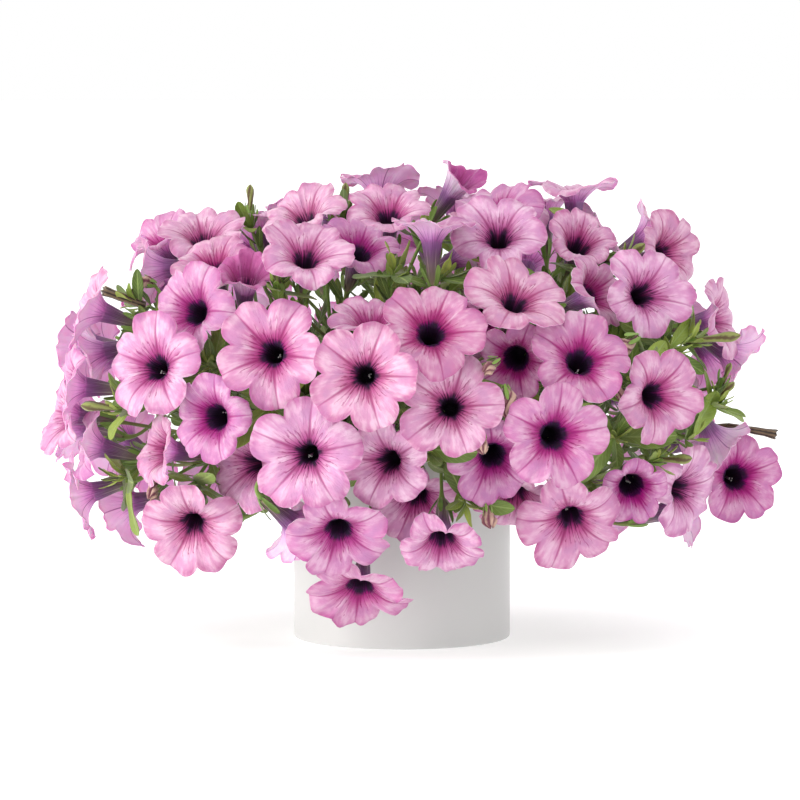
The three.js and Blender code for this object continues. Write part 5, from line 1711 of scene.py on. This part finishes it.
petals = add_late_blooms(bunches, shoots)
standing = [bloom for bunch in bunches for bloom in bunch.blooms + bunch.late]
oddments = [Oddment(row, ODDMENT_SEED + i) for i, row in enumerate(ODDMENTS)]
oddments = [oddment for oddment in oddments if oddment.find(stems)]

make_pot()
make_soil()
for bunch in bunches:
    make_bunch(bunch)
for number, stem in enumerate(stems):
    own = [[grown for grown in kind if grown.stem is stem] for kind in (shoots, oddments)]
    make_stem(stem, *own, number)

# ---------------------------------------------------------------- floor, light and camera


FLOOR_RADIUS = 40  # in metres, so that its edge is out of sight
# the lamps: place and aim in metres, width, watts and colour
LAMPS = {
    "key": ((-1.2, -2.1, 2.2), (0, 0, 0.15), 1.0, 18, "#fffaf4"),
    "side": ((-2.4, -0.9, 0.5), (0, 0, 0.12), 1.0, 34, "#fffcf8"),
}
LENS, SENSOR = 195, 36  # which give the photograph's 0.6 mm per pixel at the plant
SIGHT_END = 60  # in metres, past the floor's edge


def make_floor():
    """A plain pale floor of matt paper."""
    made, tree = material("pale_floor")
    where = node(tree, "NewGeometry").outputs["Position"]
    # clouds 25 mm wide in the paper
    grain = node(tree, "TexNoise", {"Vector": where, "Scale": grains(25), "Detail": 3.0})
    body = node(tree, "Mix", {0: grain, 6: "#ebebeb", 7: "#eeeeee"}, data_type="RGBA")
    # lit from below, as a studio's light table is, so that shadows stay faint
    glow = {"Emission Color": "#ffffff", "Emission Strength": 0.45}
    finished(tree, node(tree, "BsdfPrincipled", {"Base Color": body, "Roughness": 0.9, **glow}))
    bpy.ops.mesh.primitive_circle_add(vertices=96, radius=FLOOR_RADIUS, fill_type="NGON")
    floor = bpy.context.object
    floor.name = "floor"
    floor.data.materials.append(made)


def add_looking(name, data, place, aim):
    """A lamp or camera that looks from a place at an aim, in metres."""
    made = bpy.data.objects.new(name, data)
    made.location = place
    made.rotation_euler = (Vector(aim) - Vector(place)).to_track_quat("-Z", "Y").to_euler()
    bpy.context.scene.collection.objects.link(made)
    return made


def make_lamp(name, place, aim, wide, watts, colour):
    """A round, soft studio lamp."""
    lamp = bpy.data.lights.new(name, "AREA")
    lamp.shape = "DISK"
    lamp.size = wide
    lamp.energy = watts
    lamp.color = linear(colour)[:3]
    add_looking(name, lamp, place, aim)


def make_sky():
    """White light from all round, and the plain white that the photograph has behind the plant."""
    world = bpy.data.worlds.new("studio")
    bpy.context.scene.world = world
    world.use_nodes = True
    world.node_tree.nodes["Background"].inputs["Color"].default_value = linear("#ffffff")
    world.node_tree.nodes["Background"].inputs["Strength"].default_value = 1.0


def make_camera():
    """The photograph's own view: a long lens, a little above the plant's middle."""
    camera = bpy.data.cameras.new("camera")
    camera.lens = LENS
    camera.sensor_width = SENSOR
    camera.clip_end = SIGHT_END
    aim = Vector((VIEW_ASIDE * MM, 0, VIEW_HEIGHT * MM))
    bpy.context.scene.camera = add_looking("camera", camera, Vector(EYE) * MM, aim)


make_floor()
make_sky()
for name, lamp in LAMPS.items():
    make_lamp(name, *lamp)
make_camera()
bpy.context.scene.view_settings.view_transform = "Standard"

bpy.context.view_layer.update()
